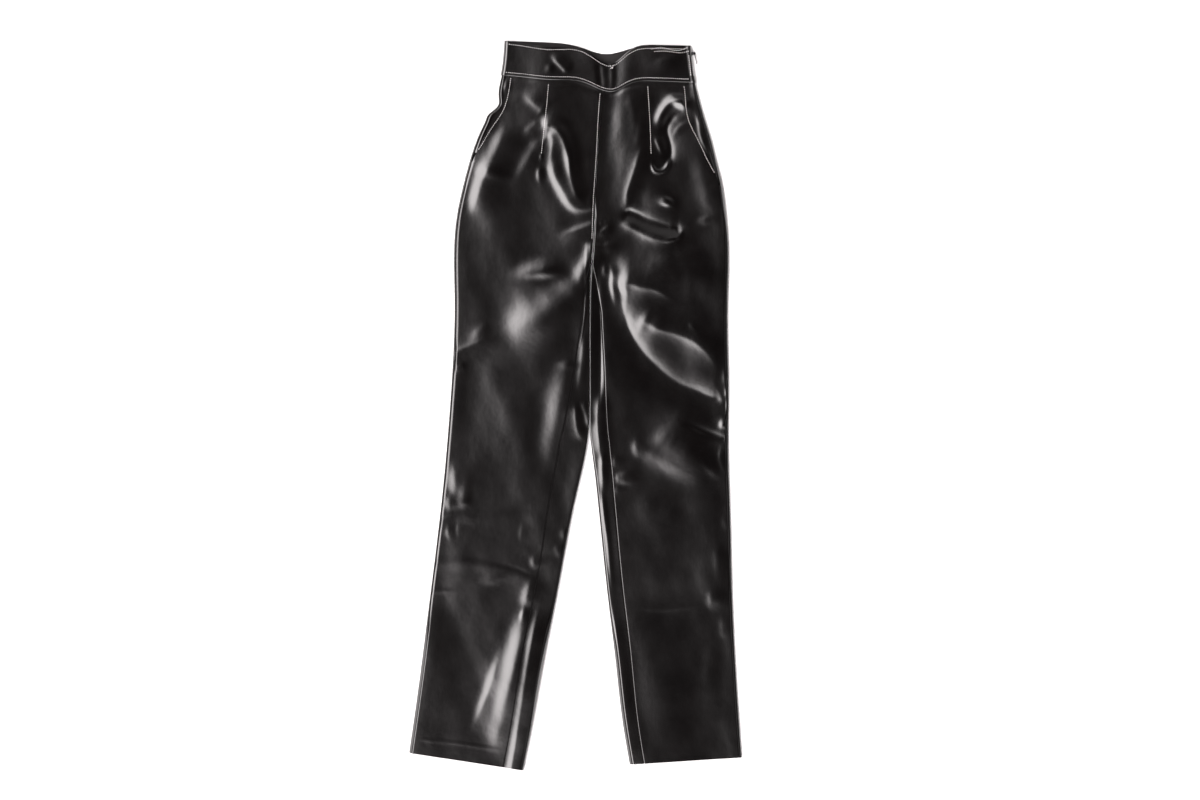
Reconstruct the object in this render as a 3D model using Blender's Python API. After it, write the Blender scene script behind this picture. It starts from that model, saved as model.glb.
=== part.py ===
"""Faux leather trousers, high in the waist and slim in the leg, laid flat on their back.

The garment rests on the plane z = 0 with its front up. +Y runs to the waist, +X to the wearer's left
leg, and the origin is the middle of the footprint, on the surface. Every piece of cloth is a wall that
follows one shared form: two leg tubes, pressed flat, that join into the body above the crotch. Tables
are in millimetres.
"""

import math

import bmesh
import bpy
import numpy as np

MM = 0.001

# Driving dimensions, in millimetres.
LAID_LENGTH = 1070.0  # highest point of the waist to lowest corner of the hems
CLOTH = 1.2  # coated cloth and its backing
SEAM_GAP = 0.3
BAND_LAP = 7.0  # how far the band lies over the panels below it
EDGE_HEIGHT = 3.6  # height of the fold line along the sides
UNDER_ROUND = 4.0  # width of the rounding under a fold
BEAD_FADES = 26.0  # how far in from its crest a side fold sinks to where the front lies
LIES_CLEAR = 0.6  # the front's inner face above the back's, at least
LIFT_SHARE = 1.6  # how much more the front clears where the panels lap
SOFT_STOP = 0.8  # how softly a trough comes to lie on the back
SOFT_STOP_ENDS = 20.0  # soft stops above the lowest height, past which the form is left as it is
CREST_SHARE = 0.8  # of the rounding's width: where the crest of a side fold starts to sink
# The panels' rise over the lapped back waistband.
LAP_LIFT = {"clear": 0.1, "full_to": 75.0, "gone_by": 120.0}
HEM_OUTER = {"right": 1044.0, "left": 1051.0}
HEM_INNER = {"right": 1070.0, "left": 1061.0}
WAIST_OUTER = {"right": 0.0, "left": 8.0}
BAND_OUTER = {"right": 51.0, "left": 62.0}
WAIST_INNER = 5.0
BAND_INNER = 57.0
CROTCH_STARTS = 225.0
CROTCH_ENDS = 325.0
ZIP_LENGTH = 190.0
SIDES = {"right": -1.0, "left": 1.0}

# Outer fold line of each side: distance below the waist, distance from the middle of the footprint.
OUTER_FOLD = {
    "right": [
        ("down", "x"),
        (0, -103), (48, -109), (78, -115), (104, -124), (131, -138), (160, -150), (190, -159),
        (222, -167), (260, -174.5), (300, -178), (380, -177.5), (453, -179), (527, -183.5),
        (586, -188), (703, -199.6), (820, -214), (938, -229), (1044, -244),
    ],
    "left": [
        ("down", "x"),
        (0, 168), (42, 172), (86, 182), (116, 190.5), (145, 199.5), (175, 207), (204, 214.5),
        (240, 220), (292, 224.5), (340, 225), (400, 223.5), (498, 225), (586, 224.5),
        (703, 227.5), (820, 230.5), (938, 236.3), (1051, 244),
    ],
}
# Inner line: the centre front down to the crotch, then the inner fold of the leg.
INNER_FOLD = {
    "right": [
        ("down", "x"),
        (0, 44), (60, 42), (130, 35.5), (204, 30.5), (292, 26), (324, 22.5), (380, 20), (460, 19.6),
        (540, 19.6), (586, 18), (630, 10.3), (674, 0), (732, -11.7), (820, -28), (909, -45.5),
        (997, -61.5), (1070, -76.3),
    ],
    "left": [
        ("down", "x"),
        (0, 44), (60, 42), (130, 35.5), (204, 30.6), (250, 28.6), (292, 26.6), (324, 24), (380, 21.6),
        (460, 21.2), (540, 21), (586, 22), (630, 27.4), (674, 32.3), (732, 38.2), (820, 47.6), (909, 58.5),
        (997, 68.6), (1061, 79.3),
    ],
}
# How far the inner leg seam lies on the front, in from the inner fold.
INSEAM_INSET = {
    "right": [("down", "inset"), (325, 0), (351, 5), (398, 9), (473, 20), (520, 27), (556, 34), (593, 40),
              (660, 38), (749, 33), (897, 33), (1070, 29)],
    "left": [("down", "inset"), (325, 0), (351, 8), (398, 17), (473, 21), (520, 23), (592, 27), (660, 25),
             (749, 24), (897, 23.5), (1061, 21.5)],
}
OUTSEAM_INSET = [("down", "inset"), (0, 1), (170, 2), (225, 5), (1070, 5)]
# The front's height: how far the rolled side folds rise above their fold line, and where it lies between.
LOFT = [
    ("down", "bead", "level"),
    (0, 4.6, 8.6), (60, 4.6, 8.4), (130, 4.8, 7.8), (200, 4.8, 7.4), (300, 4.4, 6.6), (400, 4.0, 5.2),
    (520, 3.6, 4.6), (1070, 3.2, 4.2),
]
EDGE_ROUND = [("down", "width"), (0, 7), (150, 9), (300, 8), (600, 7), (1070, 6)]

# Where the top edge of the front sinks towards the hem, and how that fades further down.
WAIST_SAGS = [
    ("x", "depth", "right_width", "left_width", "fades_by"),
    (-38, 7, 29, 29, 150),
    (51, 30, 24, 18.5, 175),
]
BACK_SAG = {"x": 44.0, "depth": 15.0, "width": 27.0, "fades_by": 140.0}
SAG_FADE_POWER = 1.3

# The largest folds of the front: a curved line from start over middle to end, its height (ridge above
# zero, trough below), and its half width on the wearer's right and left of a line drawn down the leg.
FOLDS = [
    ("start", "middle", "end", "height", "right", "left"),
    ((51, -60), (51, 60), (46, 230), -4, 15, 13),
    ((-10, 126), (-8, 190), (8, 258), 4, 16, 9),
    ((-38, 130), (-34, 190), (-6, 256), -2, 10, 14),
    ((72, 250), (100, 150), (118, 88), 5, 18, 13),
    ((140, 90), (138, 140), (118, 196), 4, 15, 12),
    ((26, 268), (88, 268), (156, 288), -4, 12, 11),
    ((60, 292), (105, 302), (158, 290), 5, 11, 16),
    ((68, 360), (112, 470), (214, 522), 6, 14, 22),
    ((92, 415), (158, 448), (206, 506), -3, 13, 16),
    ((-100, 420), (-60, 380), (-16, 340), 5, 22, 20),
    ((-18, 400), (-30, 540), (-48, 680), 4, 22, 15),
    ((-188, 470), (-150, 446), (-110, 440), -2, 9, 9),
    ((-204, 757), (-130, 768), (-58, 786), -2, 8, 10),
    ((-70, 830), (-108, 940), (-146, 1010), 4, 18, 22),
    ((76, 590), (110, 610), (150, 630), 4, 14, 16),
    ((220, 600), (180, 604), (130, 622), -2, 10, 12),
]
FOLD_POINTS = 25  # along each fold's line
FOLD_TAPER = 0.7  # power of the sine by which a fold dies away at its ends
FOLD_FROM_EDGE = (1.0, 18.0)  # a fold grows from nothing to its height over this distance from the side

# Slanted pocket mouths: the cut edge of each front panel.
POCKET_MOUTH = {
    "right": [("down", "x"), (40, -97), (78, -102.5), (97, -106.5), (107, -112), (143, -133),
              (178, -151.5)],
    "left": [("down", "x"), (40, 161), (91, 162.2), (105, 164.6), (121, 171), (140, 180), (165, 191.5),
             (192, 203), (222, 214.3)],
}
MOUTH_REACH = 12.0  # how far the facing runs on under the front panel
FACING_SINKS = 1.9  # its face below the panel's face, at the mouth
FACING_ENDS_SHORT = 14.0
# How far the panels' top edges sink under the band.
LAP_SINKS = {"front": 0.8, "back": 0.35, "facing": 0.4}
FACING_SHARES = (0, 0.3, 0.7, 1)  # its columns across the part that shows
FACING_BELOW = (5.0, MOUTH_REACH)  # and those under the front panel
FACING_LEAST = 1.0  # the narrowest part that shows
FACING_FLAT_FROM = 0.7  # of the part that shows: where its face has sunk all the way
CROTCH_SETBACK = 1.6  # the front's edge in from the fold just below the crotch
SETBACK_GROWS = (0.1, 0.4)  # shares of the crotch over which that comes in

# Grid sizes, and how the rows and columns crowd together.
PANEL_ROWS = 34
ROW_POWER = 1.12  # towards the waist
SAMPLE_EASE = 1.6  # towards both edges of a front panel, in its section's samples
COLUMN_EASE = 1.35  # and in its columns
BAND_EASE = 1.5  # towards the side folds of the waistband
FRONT_COLUMNS = 14
BACK_COLUMNS = {"outer_fold": 5, "under": 4, "inner_fold": 6}
BAND_ROWS = 4
BAND_COLUMNS = 26
FACING_ROWS = 10
SECTION_SAMPLES = 240
TURN_SAMPLES = 60  # round a side fold, or along the underside
FACING_SAMPLES = 200
UNDER_FROM = 1.6  # roundings in from the outer fold at which the underside's own columns start
UNDER_TO = 1.2  # and from the inner fold at which they end

# Zip at the wearer's left side seam.
ZIP_SLIT = 2.6
TAPE_WIDTH = 9.0
TAPE_THICK = 0.6
TAPE_INSET = 4.5
TAPE_ABOVE = 0.4  # its middle above the fold line
TAPE_ROWS = 8
TAPE_STARTS = 4.0  # below the waist's highest point on that side
TAPE_SHARES = (1, 0.5, 0)
SLIDER_DOWN = 19.0
SLIDER_LENGTH = 5.0
SLIDER_DEPTH = 1.8
SLIDER_IN = 2.6
SLIDER_OUT = 1.9
LUG_THICK = 0.8
PIN_REACH = 2.4
PIN_RADIUS = 0.7
PIN_SHORT = 0.3  # its ends inside the lugs' outer faces
LUG_TIP = 1.3  # the lugs' ends beyond the pin's middle
LUG_CLEAR = 0.1  # between a lug and the pull's ring
KNUCKLE_INNER = 1.05
KNUCKLE_OUTER = 1.9
KNUCKLE_LENGTH = 2.4
PULL_LENGTH = 16.0
TAB_STARTS = 1.4  # from the pin's middle, inside the ring's wall
HOLE_PAST = 1.0  # the hole's cutter beyond each face
PULL_THICK = 0.9
PULL_ANGLE = 13.0  # degrees that the pull stands off the side, at rest

COLOURS = {
    "leather": ((0.020, 0.019, 0.020), 0.30, 0.0),
    "tape": ((0.012, 0.012, 0.012), 0.85, 0.0),
    "zip_metal": ((0.030, 0.030, 0.032), 0.35, 0.6),
}


# ---------------------------------------------------------------- tables and curves


def column(table, name):
    """One named column of a table whose first row holds the names."""
    place = table[0].index(name)
    return np.array([row[place] for row in table[1:]], float)


def natural_spline(xs, ys, at):
    """A natural cubic spline through the rows, read at `at` and held level past its ends."""
    count = len(xs)
    step = np.diff(xs)
    matrix = np.eye(count)
    right = np.zeros(count)
    for i in range(1, count - 1):
        matrix[i, i - 1 : i + 2] = step[i - 1], 2 * (step[i - 1] + step[i]), step[i]
        right[i] = 6 * ((ys[i + 1] - ys[i]) / step[i] - (ys[i] - ys[i - 1]) / step[i - 1])
    bend = np.linalg.solve(matrix, right)
    at = np.clip(at, xs[0], xs[-1])
    i = np.clip(np.searchsorted(xs, at) - 1, 0, count - 2)
    a = (xs[i + 1] - at) / step[i]
    b = 1 - a
    level = a * ys[i] + b * ys[i + 1]
    return level + ((a**3 - a) * bend[i] + (b**3 - b) * bend[i + 1]) * step[i] ** 2 / 6


def along(table, name, down):
    return natural_spline(column(table, "down"), column(table, name), np.asarray(down, float))


def straight(table, name, down):
    return np.interp(down, column(table, "down"), column(table, name))


def smooth(low, high, value):
    t = np.clip((value - low) / (high - low), 0, 1)
    return t * t * (3 - 2 * t)


def rounded(share):
    """A quarter ellipse: 0 at the fold line, level from 1 on."""
    return np.sqrt(1 - (1 - np.clip(share, 0, 1)) ** 2)


# ---------------------------------------------------------------- the shared form


def crotch(down):
    """0 where the body is one tube, 1 where each leg is its own."""
    return smooth(CROTCH_STARTS, CROTCH_ENDS, down)


def fold_height(x, down):
    """Height of all the folds together at a place on the front."""
    total = np.zeros_like(x)
    point = np.stack([x, down], -1)
    for start, middle, end, height, right_width, left_width in FOLDS[1:]:
        share = np.linspace(0, 1, FOLD_POINTS)[:, None]
        control = 2 * np.array(middle, float) - (np.array(start, float) + np.array(end, float)) / 2
        line = (1 - share) ** 2 * start + 2 * share * (1 - share) * control + share**2 * end
        best = np.full(x.shape, np.inf)
        side = np.zeros_like(x)
        place = np.zeros_like(x)
        for i, (a, b) in enumerate(zip(line[:-1], line[1:])):
            run = b - a
            part = np.clip(((point - a) @ run) / (run @ run), 0, 1)
            away = point - a - part[..., None] * run
            distance = np.hypot(away[..., 0], away[..., 1])
            nearer = distance < best
            best = np.where(nearer, distance, best)
            side = np.where(nearer, run[1] * away[..., 0] - run[0] * away[..., 1], side)
            place = np.where(nearer, (i + part) / (len(line) - 1), place)
        width = np.where(side * (1 if end[1] >= start[1] else -1) < 0, right_width, left_width)
        taper = np.sin(math.pi * np.clip(place, 0, 1)) ** FOLD_TAPER
        total += height * taper * np.exp(-((best / width) ** 2))
    return total


def row_ends(side, down_outer, down_inner):
    outer = np.array([along(OUTER_FOLD[side], "x", down_outer), down_outer])
    inner = np.array([along(INNER_FOLD[side], "x", down_inner) + SIDES[side] * SEAM_GAP / 2, down_inner])
    return outer, inner


def top_height(side, x, down, from_outer, from_inner):
    """Height of the form's upper surface, given the distances from the row's two fold lines."""
    apart = crotch(down)
    round_width = straight(EDGE_ROUND, "width", down)
    edge = rounded(from_outer / round_width) * (1 - apart * (1 - rounded(from_inner / round_width)))
    calm_outer = smooth(round_width * CREST_SHARE, round_width + BEAD_FADES, from_outer)
    calm_inner = smooth(round_width * CREST_SHARE, round_width + BEAD_FADES, from_inner)
    calm = calm_outer * (1 - apart * (1 - calm_inner))
    roll = EDGE_HEIGHT + along(LOFT, "bead", down) * edge
    near_fold = np.minimum(from_outer, from_inner * apart + LAID_LENGTH * (1 - apart))
    folded = fold_height(x, down) * smooth(*FOLD_FROM_EDGE, near_fold)
    height = roll * (1 - calm) + along(LOFT, "level", down) * calm + folded
    clear_of_back = 2 * CLOTH + LIES_CLEAR + LIFT_SHARE * under_lift(down)
    lowest = clear_of_back * calm + (EDGE_HEIGHT + edge) * (1 - calm)
    above = (height - lowest) / SOFT_STOP
    softened = np.log1p(np.exp(np.minimum(above, SOFT_STOP_ENDS)))
    return lowest + SOFT_STOP * np.where(above > SOFT_STOP_ENDS, above, softened) * edge


def under_lift(down):
    """How far the panels' underside is held up by the lapped back waistband."""
    gone = smooth(LAP_LIFT["full_to"], LAP_LIFT["gone_by"], down)
    return (CLOTH + SEAM_GAP + LAP_LIFT["clear"]) * (1 - gone)


def under_height(down, from_outer, from_inner):
    """Height of the form's underside: flat, with rounded folds, and lifted under the waistband."""
    rise = 1 - rounded(from_outer / UNDER_ROUND)
    rise = np.maximum(rise, crotch(down) * (1 - rounded(from_inner / UNDER_ROUND)))
    return EDGE_HEIGHT * rise + under_lift(down) * (1 - rise)


def ease(count, power):
    """Shares from 0 to 1, closer together near both ends."""
    t = np.linspace(0, 1, count)
    return 0.5 + 0.5 * np.sign(2 * t - 1) * (1 - (1 - np.abs(2 * t - 1)) ** power)


def on_row(side, row, from_outer, on_top):
    """Points of one row of the form, at distances in from its outer fold."""
    outer, inner = row_ends(side, *row)
    width = np.hypot(*(inner - outer))
    share = np.asarray(from_outer) / width
    flat = outer + (inner - outer) * share[:, None]
    x, down = flat[:, 0], flat[:, 1]
    from_inner = np.maximum(width - from_outer, 0)
    if on_top:
        z = top_height(side, x, down, from_outer, from_inner)
    else:
        z = under_height(down, from_outer, from_inner)
    return np.stack([x, down, z], -1)


def row_width(side, row):
    outer, inner = row_ends(side, *row)
    return float(np.hypot(*(inner - outer)))


def with_normals(side, row, line, outward):
    """The line's points with the form's outward direction at each, found in the row's upright plane."""
    outer, inner = row_ends(side, *row)
    heading = (inner - outer) / np.hypot(*(inner - outer))
    step = np.gradient(line, axis=0)
    ahead = step[:, :2] @ heading
    rise = step[:, 2]
    normal = np.stack([-rise * heading[0], -rise * heading[1], ahead], -1) * outward
    return np.concatenate([line, normal / np.linalg.norm(normal, axis=1, keepdims=True)], axis=1)


def spread_along(line, shares):
    """Points of a dense line again, at these shares of its length, with their normals."""
    length = np.concatenate([[0], np.cumsum(np.linalg.norm(np.diff(line[:, :3], axis=0), axis=1))])
    at = np.asarray(shares) * length[-1]
    return np.stack([np.interp(at, length, line[:, k]) for k in range(line.shape[1])], -1)


def front_sag(grid):
    """How far the front's top edge has sunk towards the hem at each point."""
    total = np.zeros(grid.shape[:2])
    for x, depth, right_width, left_width, fades_by in WAIST_SAGS[1:]:
        width = np.where(grid[..., 0] < x, right_width, left_width)
        fade = np.clip(1 - grid[..., 1] / fades_by, 0, 1) ** SAG_FADE_POWER
        total += depth * fade * np.exp(-0.5 * ((grid[..., 0] - x) / width) ** 2)
    return total


def back_sag(grid):
    fade = np.clip(1 - grid[..., 1] / BACK_SAG["fades_by"], 0, 1)
    off = (grid[..., 0] - BACK_SAG["x"]) / BACK_SAG["width"]
    return BACK_SAG["depth"] * fade * np.exp(-0.5 * off**2)


# ---------------------------------------------------------------- Blender objects


def clear_scene():
    for obj in list(bpy.data.objects):
        bpy.data.objects.remove(obj, do_unlink=True)


def material(name):
    colour, roughness, metallic = COLOURS[name]
    made = bpy.data.materials.get(name)
    if made is None:
        made = bpy.data.materials.new(name)
        made.use_nodes = True
        shader = made.node_tree.nodes["Principled BSDF"]
        shader.inputs["Base Color"].default_value = (*colour, 1)
        shader.inputs["Roughness"].default_value = roughness
        shader.inputs["Metallic"].default_value = metallic
    return made


def to_world(points):
    """From (x, distance below the waist, height) in millimetres to the part's frame in metres."""
    points = np.asarray(points, float)
    return np.stack([points[..., 0], LAID_LENGTH / 2 - points[..., 1], points[..., 2]], -1) * MM


def link(name, mesh, finish):
    obj = bpy.data.objects.new(name, mesh)
    bpy.context.scene.collection.objects.link(obj)
    mesh.materials.append(material(finish))
    return obj


def wall_object(name, grid, sag, faces_up, raised=0.0, thick=CLOTH, finish="leather"):
    """A wall of cloth on a grid of points with normals: its outer face is the grid moved out by `raised`."""
    rows, columns = grid.shape[:2]
    points, normals = grid[..., :3], grid[..., 3:]
    shift = np.zeros_like(points)
    shift[..., 1] = sag
    raised = np.broadcast_to(raised, (rows, columns))[..., None]
    outer_face = to_world(points + normals * raised + shift)
    inner_face = to_world(points + normals * (raised - thick) + shift)
    mesh = bpy.data.meshes.new(name)
    bm = bmesh.new()
    out = [[bm.verts.new(outer_face[r, c]) for c in range(columns)] for r in range(rows)]
    back = [[bm.verts.new(inner_face[r, c]) for c in range(columns)] for r in range(rows)]
    rings = []
    for r in range(rows - 1):
        for c in range(columns - 1):
            rings.append([out[r][c], out[r][c + 1], out[r + 1][c + 1], out[r + 1][c]])
            rings.append([back[r][c], back[r + 1][c], back[r + 1][c + 1], back[r][c + 1]])
    for r in range(rows - 1):
        rings.append([out[r + 1][0], back[r + 1][0], back[r][0], out[r][0]])
        rings.append([out[r][-1], back[r][-1], back[r + 1][-1], out[r + 1][-1]])
    for c in range(columns - 1):
        rings.append([out[0][c], back[0][c], back[0][c + 1], out[0][c + 1]])
        rings.append([out[-1][c + 1], back[-1][c + 1], back[-1][c], out[-1][c]])
    for ring in rings:
        bm.faces.new(ring if faces_up else ring[::-1])
    bm.to_mesh(mesh)
    bm.free()
    return link(name, mesh, finish)


# ---------------------------------------------------------------- the pieces


def panel_rows(side):
    """Pairs of distances below the waist, outer and inner, from under the band to the hem."""
    start_outer = BAND_OUTER[side] - BAND_LAP
    start_inner = BAND_INNER - BAND_LAP
    share = np.linspace(0, 1, PANEL_ROWS) ** ROW_POWER
    outer = start_outer + (HEM_OUTER[side] - start_outer) * share
    inner = start_inner + (HEM_INNER[side] - start_inner) * share
    return list(zip(outer, inner))


def lap_sink(half):
    """Inward shift of each panel row: only the top row goes deeper, under the band."""
    sinks = np.zeros((PANEL_ROWS, 1))
    sinks[0] = -LAP_SINKS[half]
    return sinks


def outseam(row):
    return float(straight(OUTSEAM_INSET, "inset", row[0]))


def mouth_inset(side, row):
    """Distance in from the outer fold at which the front panel of this row starts."""
    rows = POCKET_MOUTH[side]
    if row[0] > rows[-1][0]:
        return outseam(row)
    outer, inner = row_ends(side, *row)
    return max(outseam(row), abs(float(along(rows, "x", row[0])) - outer[0]))


def front_panel(side):
    grid = []
    for row in panel_rows(side):
        start = mouth_inset(side, row) + SEAM_GAP / 2
        inset = float(straight(INSEAM_INSET[side], "inset", row[1])) + SEAM_GAP
        setback = CROTCH_SETBACK * float(smooth(*SETBACK_GROWS, crotch(row[1])))
        end = row_width(side, row) - max(inset, setback)
        line = on_row(side, row, start + (end - start) * ease(SECTION_SAMPLES, SAMPLE_EASE), True)
        grid.append(spread_along(with_normals(side, row, line, 1), ease(FRONT_COLUMNS, COLUMN_EASE)))
    grid = np.array(grid)
    wall_object(f"front_panel_{side}", grid, front_sag(grid), side == "left", lap_sink("front"))


def back_panel(side):
    grid = []
    for row in panel_rows(side):
        width = row_width(side, row)
        seam = outseam(row) - SEAM_GAP / 2
        inset = float(straight(INSEAM_INSET[side], "inset", row[1])) - SEAM_GAP / 2
        quarter = 1 - np.cos(np.linspace(0, math.pi / 2, TURN_SAMPLES))
        turn_to = UNDER_ROUND * UNDER_FROM
        rise_from = width - UNDER_ROUND * UNDER_TO
        line = [
            on_row(side, row, seam * quarter[::-1], True)[:-1],
            on_row(side, row, turn_to * quarter, False)[:-1],
            on_row(side, row, np.linspace(turn_to, rise_from, TURN_SAMPLES), False)[:-1],
            on_row(side, row, width - (width - rise_from) * quarter[::-1], False),
        ]
        if inset > 0:
            line.append(on_row(side, row, width - inset * quarter, True)[1:])
        counts = np.cumsum([0] + [len(part) for part in line])
        line = with_normals(side, row, np.concatenate(line), -1)
        grid.append(np.concatenate([
            spread_along(line[: counts[2] + 1], np.linspace(0, 1, BACK_COLUMNS["outer_fold"] + 1)),
            spread_along(line[counts[2] : counts[3] + 1], np.linspace(0, 1, BACK_COLUMNS["under"] + 1))[1:],
            spread_along(line[counts[3] :], np.linspace(0, 1, BACK_COLUMNS["inner_fold"] + 1))[1:],
        ]))
    grid = np.array(grid)
    wall_object(f"back_panel_{side}", grid, back_sag(grid), side == "right", lap_sink("back"))


def band_grid(on_top):
    """Rows of the waistband round one half of the waist, from its top edge to its lower edge."""
    half = BAND_COLUMNS // 2 + 1
    grid = []
    for part in np.linspace(0, 1, BAND_ROWS):
        halves = {}
        for side in SIDES:
            row = (
                WAIST_OUTER[side] + (BAND_OUTER[side] - WAIST_OUTER[side]) * part,
                WAIST_INNER + (BAND_INNER - WAIST_INNER) * part,
            )
            width = row_width(side, row)
            reach = np.minimum((1 - np.cos(np.linspace(0, math.pi / 2, SECTION_SAMPLES))) * width, width)
            line = with_normals(side, row, on_row(side, row, reach, on_top), 1 if on_top else -1)
            halves[side] = spread_along(line, np.linspace(0, 1, half) ** BAND_EASE)
        joined = np.concatenate([halves["right"], halves["left"][::-1][1:]])
        joined[half - 1] = (halves["right"][-1] + halves["left"][-1]) / 2
        grid.append(joined)
    return np.array(grid)


def waistband_front():
    grid = band_grid(True)
    grid[:, 0, 2] += SEAM_GAP / 2
    grid[:, -1, 2] += ZIP_SLIT / 2
    wall_object("waistband_front", grid, front_sag(grid), False, CLOTH + SEAM_GAP)


def waistband_back():
    grid = band_grid(False)
    grid[:, 0, 2] -= SEAM_GAP / 2
    grid[:, -1, 2] -= ZIP_SLIT / 2
    wall_object("waistband_back", grid, back_sag(grid), True, CLOTH + SEAM_GAP)


def pocket_facing(side):
    """The hip piece that shows in the slanted pocket, from the side seam to well under the mouth."""
    start = BAND_OUTER[side] - BAND_LAP
    end = POCKET_MOUTH[side][-1][0] - FACING_ENDS_SHORT
    slope = (HEM_INNER[side] - BAND_INNER) / (HEM_OUTER[side] - BAND_OUTER[side])
    grid, depths = [], []
    for down in np.linspace(start, end, FACING_ROWS):
        row = (down, BAND_INNER - BAND_LAP + (down - start) * slope)
        seam = outseam(row) + SEAM_GAP / 2
        mouth = mouth_inset(side, row)
        shown = max(mouth - seam, FACING_LEAST)
        across = [share * shown for share in FACING_SHARES]
        reach = np.array(across + [shown + below for below in FACING_BELOW]) + seam
        dense = np.linspace(reach[0], reach[-1], FACING_SAMPLES)
        line = with_normals(side, row, on_row(side, row, dense, True), 1)
        grid.append(np.stack([np.interp(reach, dense, line[:, k]) for k in range(line.shape[1])], -1))
        depths.append(-FACING_SINKS * smooth(0, FACING_FLAT_FROM * shown, reach - seam))
    grid, depths = np.array(grid), np.array(depths)
    depths[0] -= LAP_SINKS["facing"]
    wall_object(f"pocket_facing_{side}", grid, front_sag(grid), side == "left", depths)


# ---------------------------------------------------------------- the zip


def zip_edge(down):
    """The left fold line at this distance below the waist."""
    return float(along(OUTER_FOLD["left"], "x", down))


def zip_tape():
    """The closed tape inside the side seam, flat between the front and the back."""
    rows = []
    for down in np.linspace(WAIST_OUTER["left"] + TAPE_STARTS, ZIP_LENGTH, TAPE_ROWS):
        edge = zip_edge(down) - TAPE_INSET
        height = EDGE_HEIGHT + TAPE_ABOVE + TAPE_THICK / 2
        rows.append([(edge - part * TAPE_WIDTH, down, height, 0, 0, 1) for part in TAPE_SHARES])
    grid = np.array(rows, float)
    wall_object("zip_tape", grid, 0, False, 0.0, TAPE_THICK, "tape")


def prism(name, outline, low, high, plane, finish):
    """A straight solid: an outline in the named plane, drawn out between two depths (all in mm)."""
    mesh = bpy.data.meshes.new(name)
    bm = bmesh.new()
    place = {"xy": lambda a, b, c: (a, b, c), "xz": lambda a, b, c: (a, c, b)}[plane]
    near = [bm.verts.new([v * MM for v in place(a, b, low)]) for a, b in outline]
    far = [bm.verts.new([v * MM for v in place(a, b, high)]) for a, b in outline]
    bm.faces.new(near[::-1])
    bm.faces.new(far)
    for i in range(len(outline)):
        j = (i + 1) % len(outline)
        bm.faces.new([near[i], near[j], far[j], far[i]])
    bmesh.ops.recalc_face_normals(bm, faces=bm.faces)
    bm.to_mesh(mesh)
    bm.free()
    return link(name, mesh, finish)


def circle(x, y, radius, count=24):
    turns = np.linspace(0, 2 * math.pi, count, endpoint=False)
    return [(x + radius * math.cos(t), y + radius * math.sin(t)) for t in turns]


def combine(target, other, operation):
    """Join or cut with an exact boolean; the other object stays hidden."""
    modifier = target.modifiers.new(other.name, "BOOLEAN")
    modifier.operation = operation
    modifier.solver = "EXACT"
    modifier.object = other
    other.hide_render = True
    other.display_type = "WIRE"


def pin_place():
    """Where the pull's pin stands: x and y in millimetres."""
    return zip_edge(SLIDER_DOWN) + SLIDER_OUT + LUG_THICK + PIN_REACH, LAID_LENGTH / 2 - SLIDER_DOWN


def zip_slider():
    """Slider body in the slit of the band, with two lugs outside it and the pin between them."""
    edge = zip_edge(SLIDER_DOWN)
    pin_x, pin_y = pin_place()
    inner, plate = edge - SLIDER_IN, edge + SLIDER_OUT
    bridge, tip = plate + LUG_THICK, pin_x + LUG_TIP
    half, inside = SLIDER_DEPTH / 2, KNUCKLE_LENGTH / 2 + LUG_CLEAR
    outside = inside + LUG_THICK
    z = EDGE_HEIGHT
    outline = [
        (inner, z - half), (plate, z - half), (plate, z - outside), (tip, z - outside), (tip, z - inside),
        (bridge, z - inside), (bridge, z + inside), (tip, z + inside), (tip, z + outside),
        (plate, z + outside), (plate, z + half), (inner, z + half),
    ]
    low, high = pin_y - SLIDER_LENGTH / 2, pin_y + SLIDER_LENGTH / 2
    body = prism("zip_slider", outline, low, high, "xz", "zip_metal")
    reach = outside - PIN_SHORT
    pin = prism("slider_pin", circle(pin_x, pin_y, PIN_RADIUS), z - reach, z + reach, "xy", "zip_metal")
    combine(body, pin, "UNION")


def zip_pull():
    """Tab on a ring round the slider's pin, standing a little off the side of the trousers."""
    pin_x, pin_y = pin_place()
    z, half = EDGE_HEIGHT, PULL_THICK / 2
    low, high = z - KNUCKLE_LENGTH / 2, z + KNUCKLE_LENGTH / 2
    pull = prism("zip_pull", circle(0, 0, KNUCKLE_OUTER), low, high, "xy", "zip_metal")
    tab_outline = [(-half, -PULL_LENGTH), (half, -PULL_LENGTH), (half, -TAB_STARTS), (-half, -TAB_STARTS)]
    tab = prism("pull_tab", tab_outline, low, high, "xy", "zip_metal")
    hole = prism("pull_hole", circle(0, 0, KNUCKLE_INNER), low - HOLE_PAST, high + HOLE_PAST, "xy",
                 "zip_metal")
    for obj in (pull, tab, hole):
        obj.location = (pin_x * MM, pin_y * MM, 0)
        obj.rotation_euler = (0, 0, math.radians(PULL_ANGLE))
    combine(pull, tab, "UNION")
    combine(pull, hole, "DIFFERENCE")


def main():
    clear_scene()
    for side in SIDES:
        front_panel(side)
        back_panel(side)
        pocket_facing(side)
    waistband_front()
    waistband_back()
    zip_tape()
    zip_slider()
    zip_pull()


main()
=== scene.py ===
import math

import bpy
import numpy as np
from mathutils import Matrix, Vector
from mathutils.bvhtree import BVHTree


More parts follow.
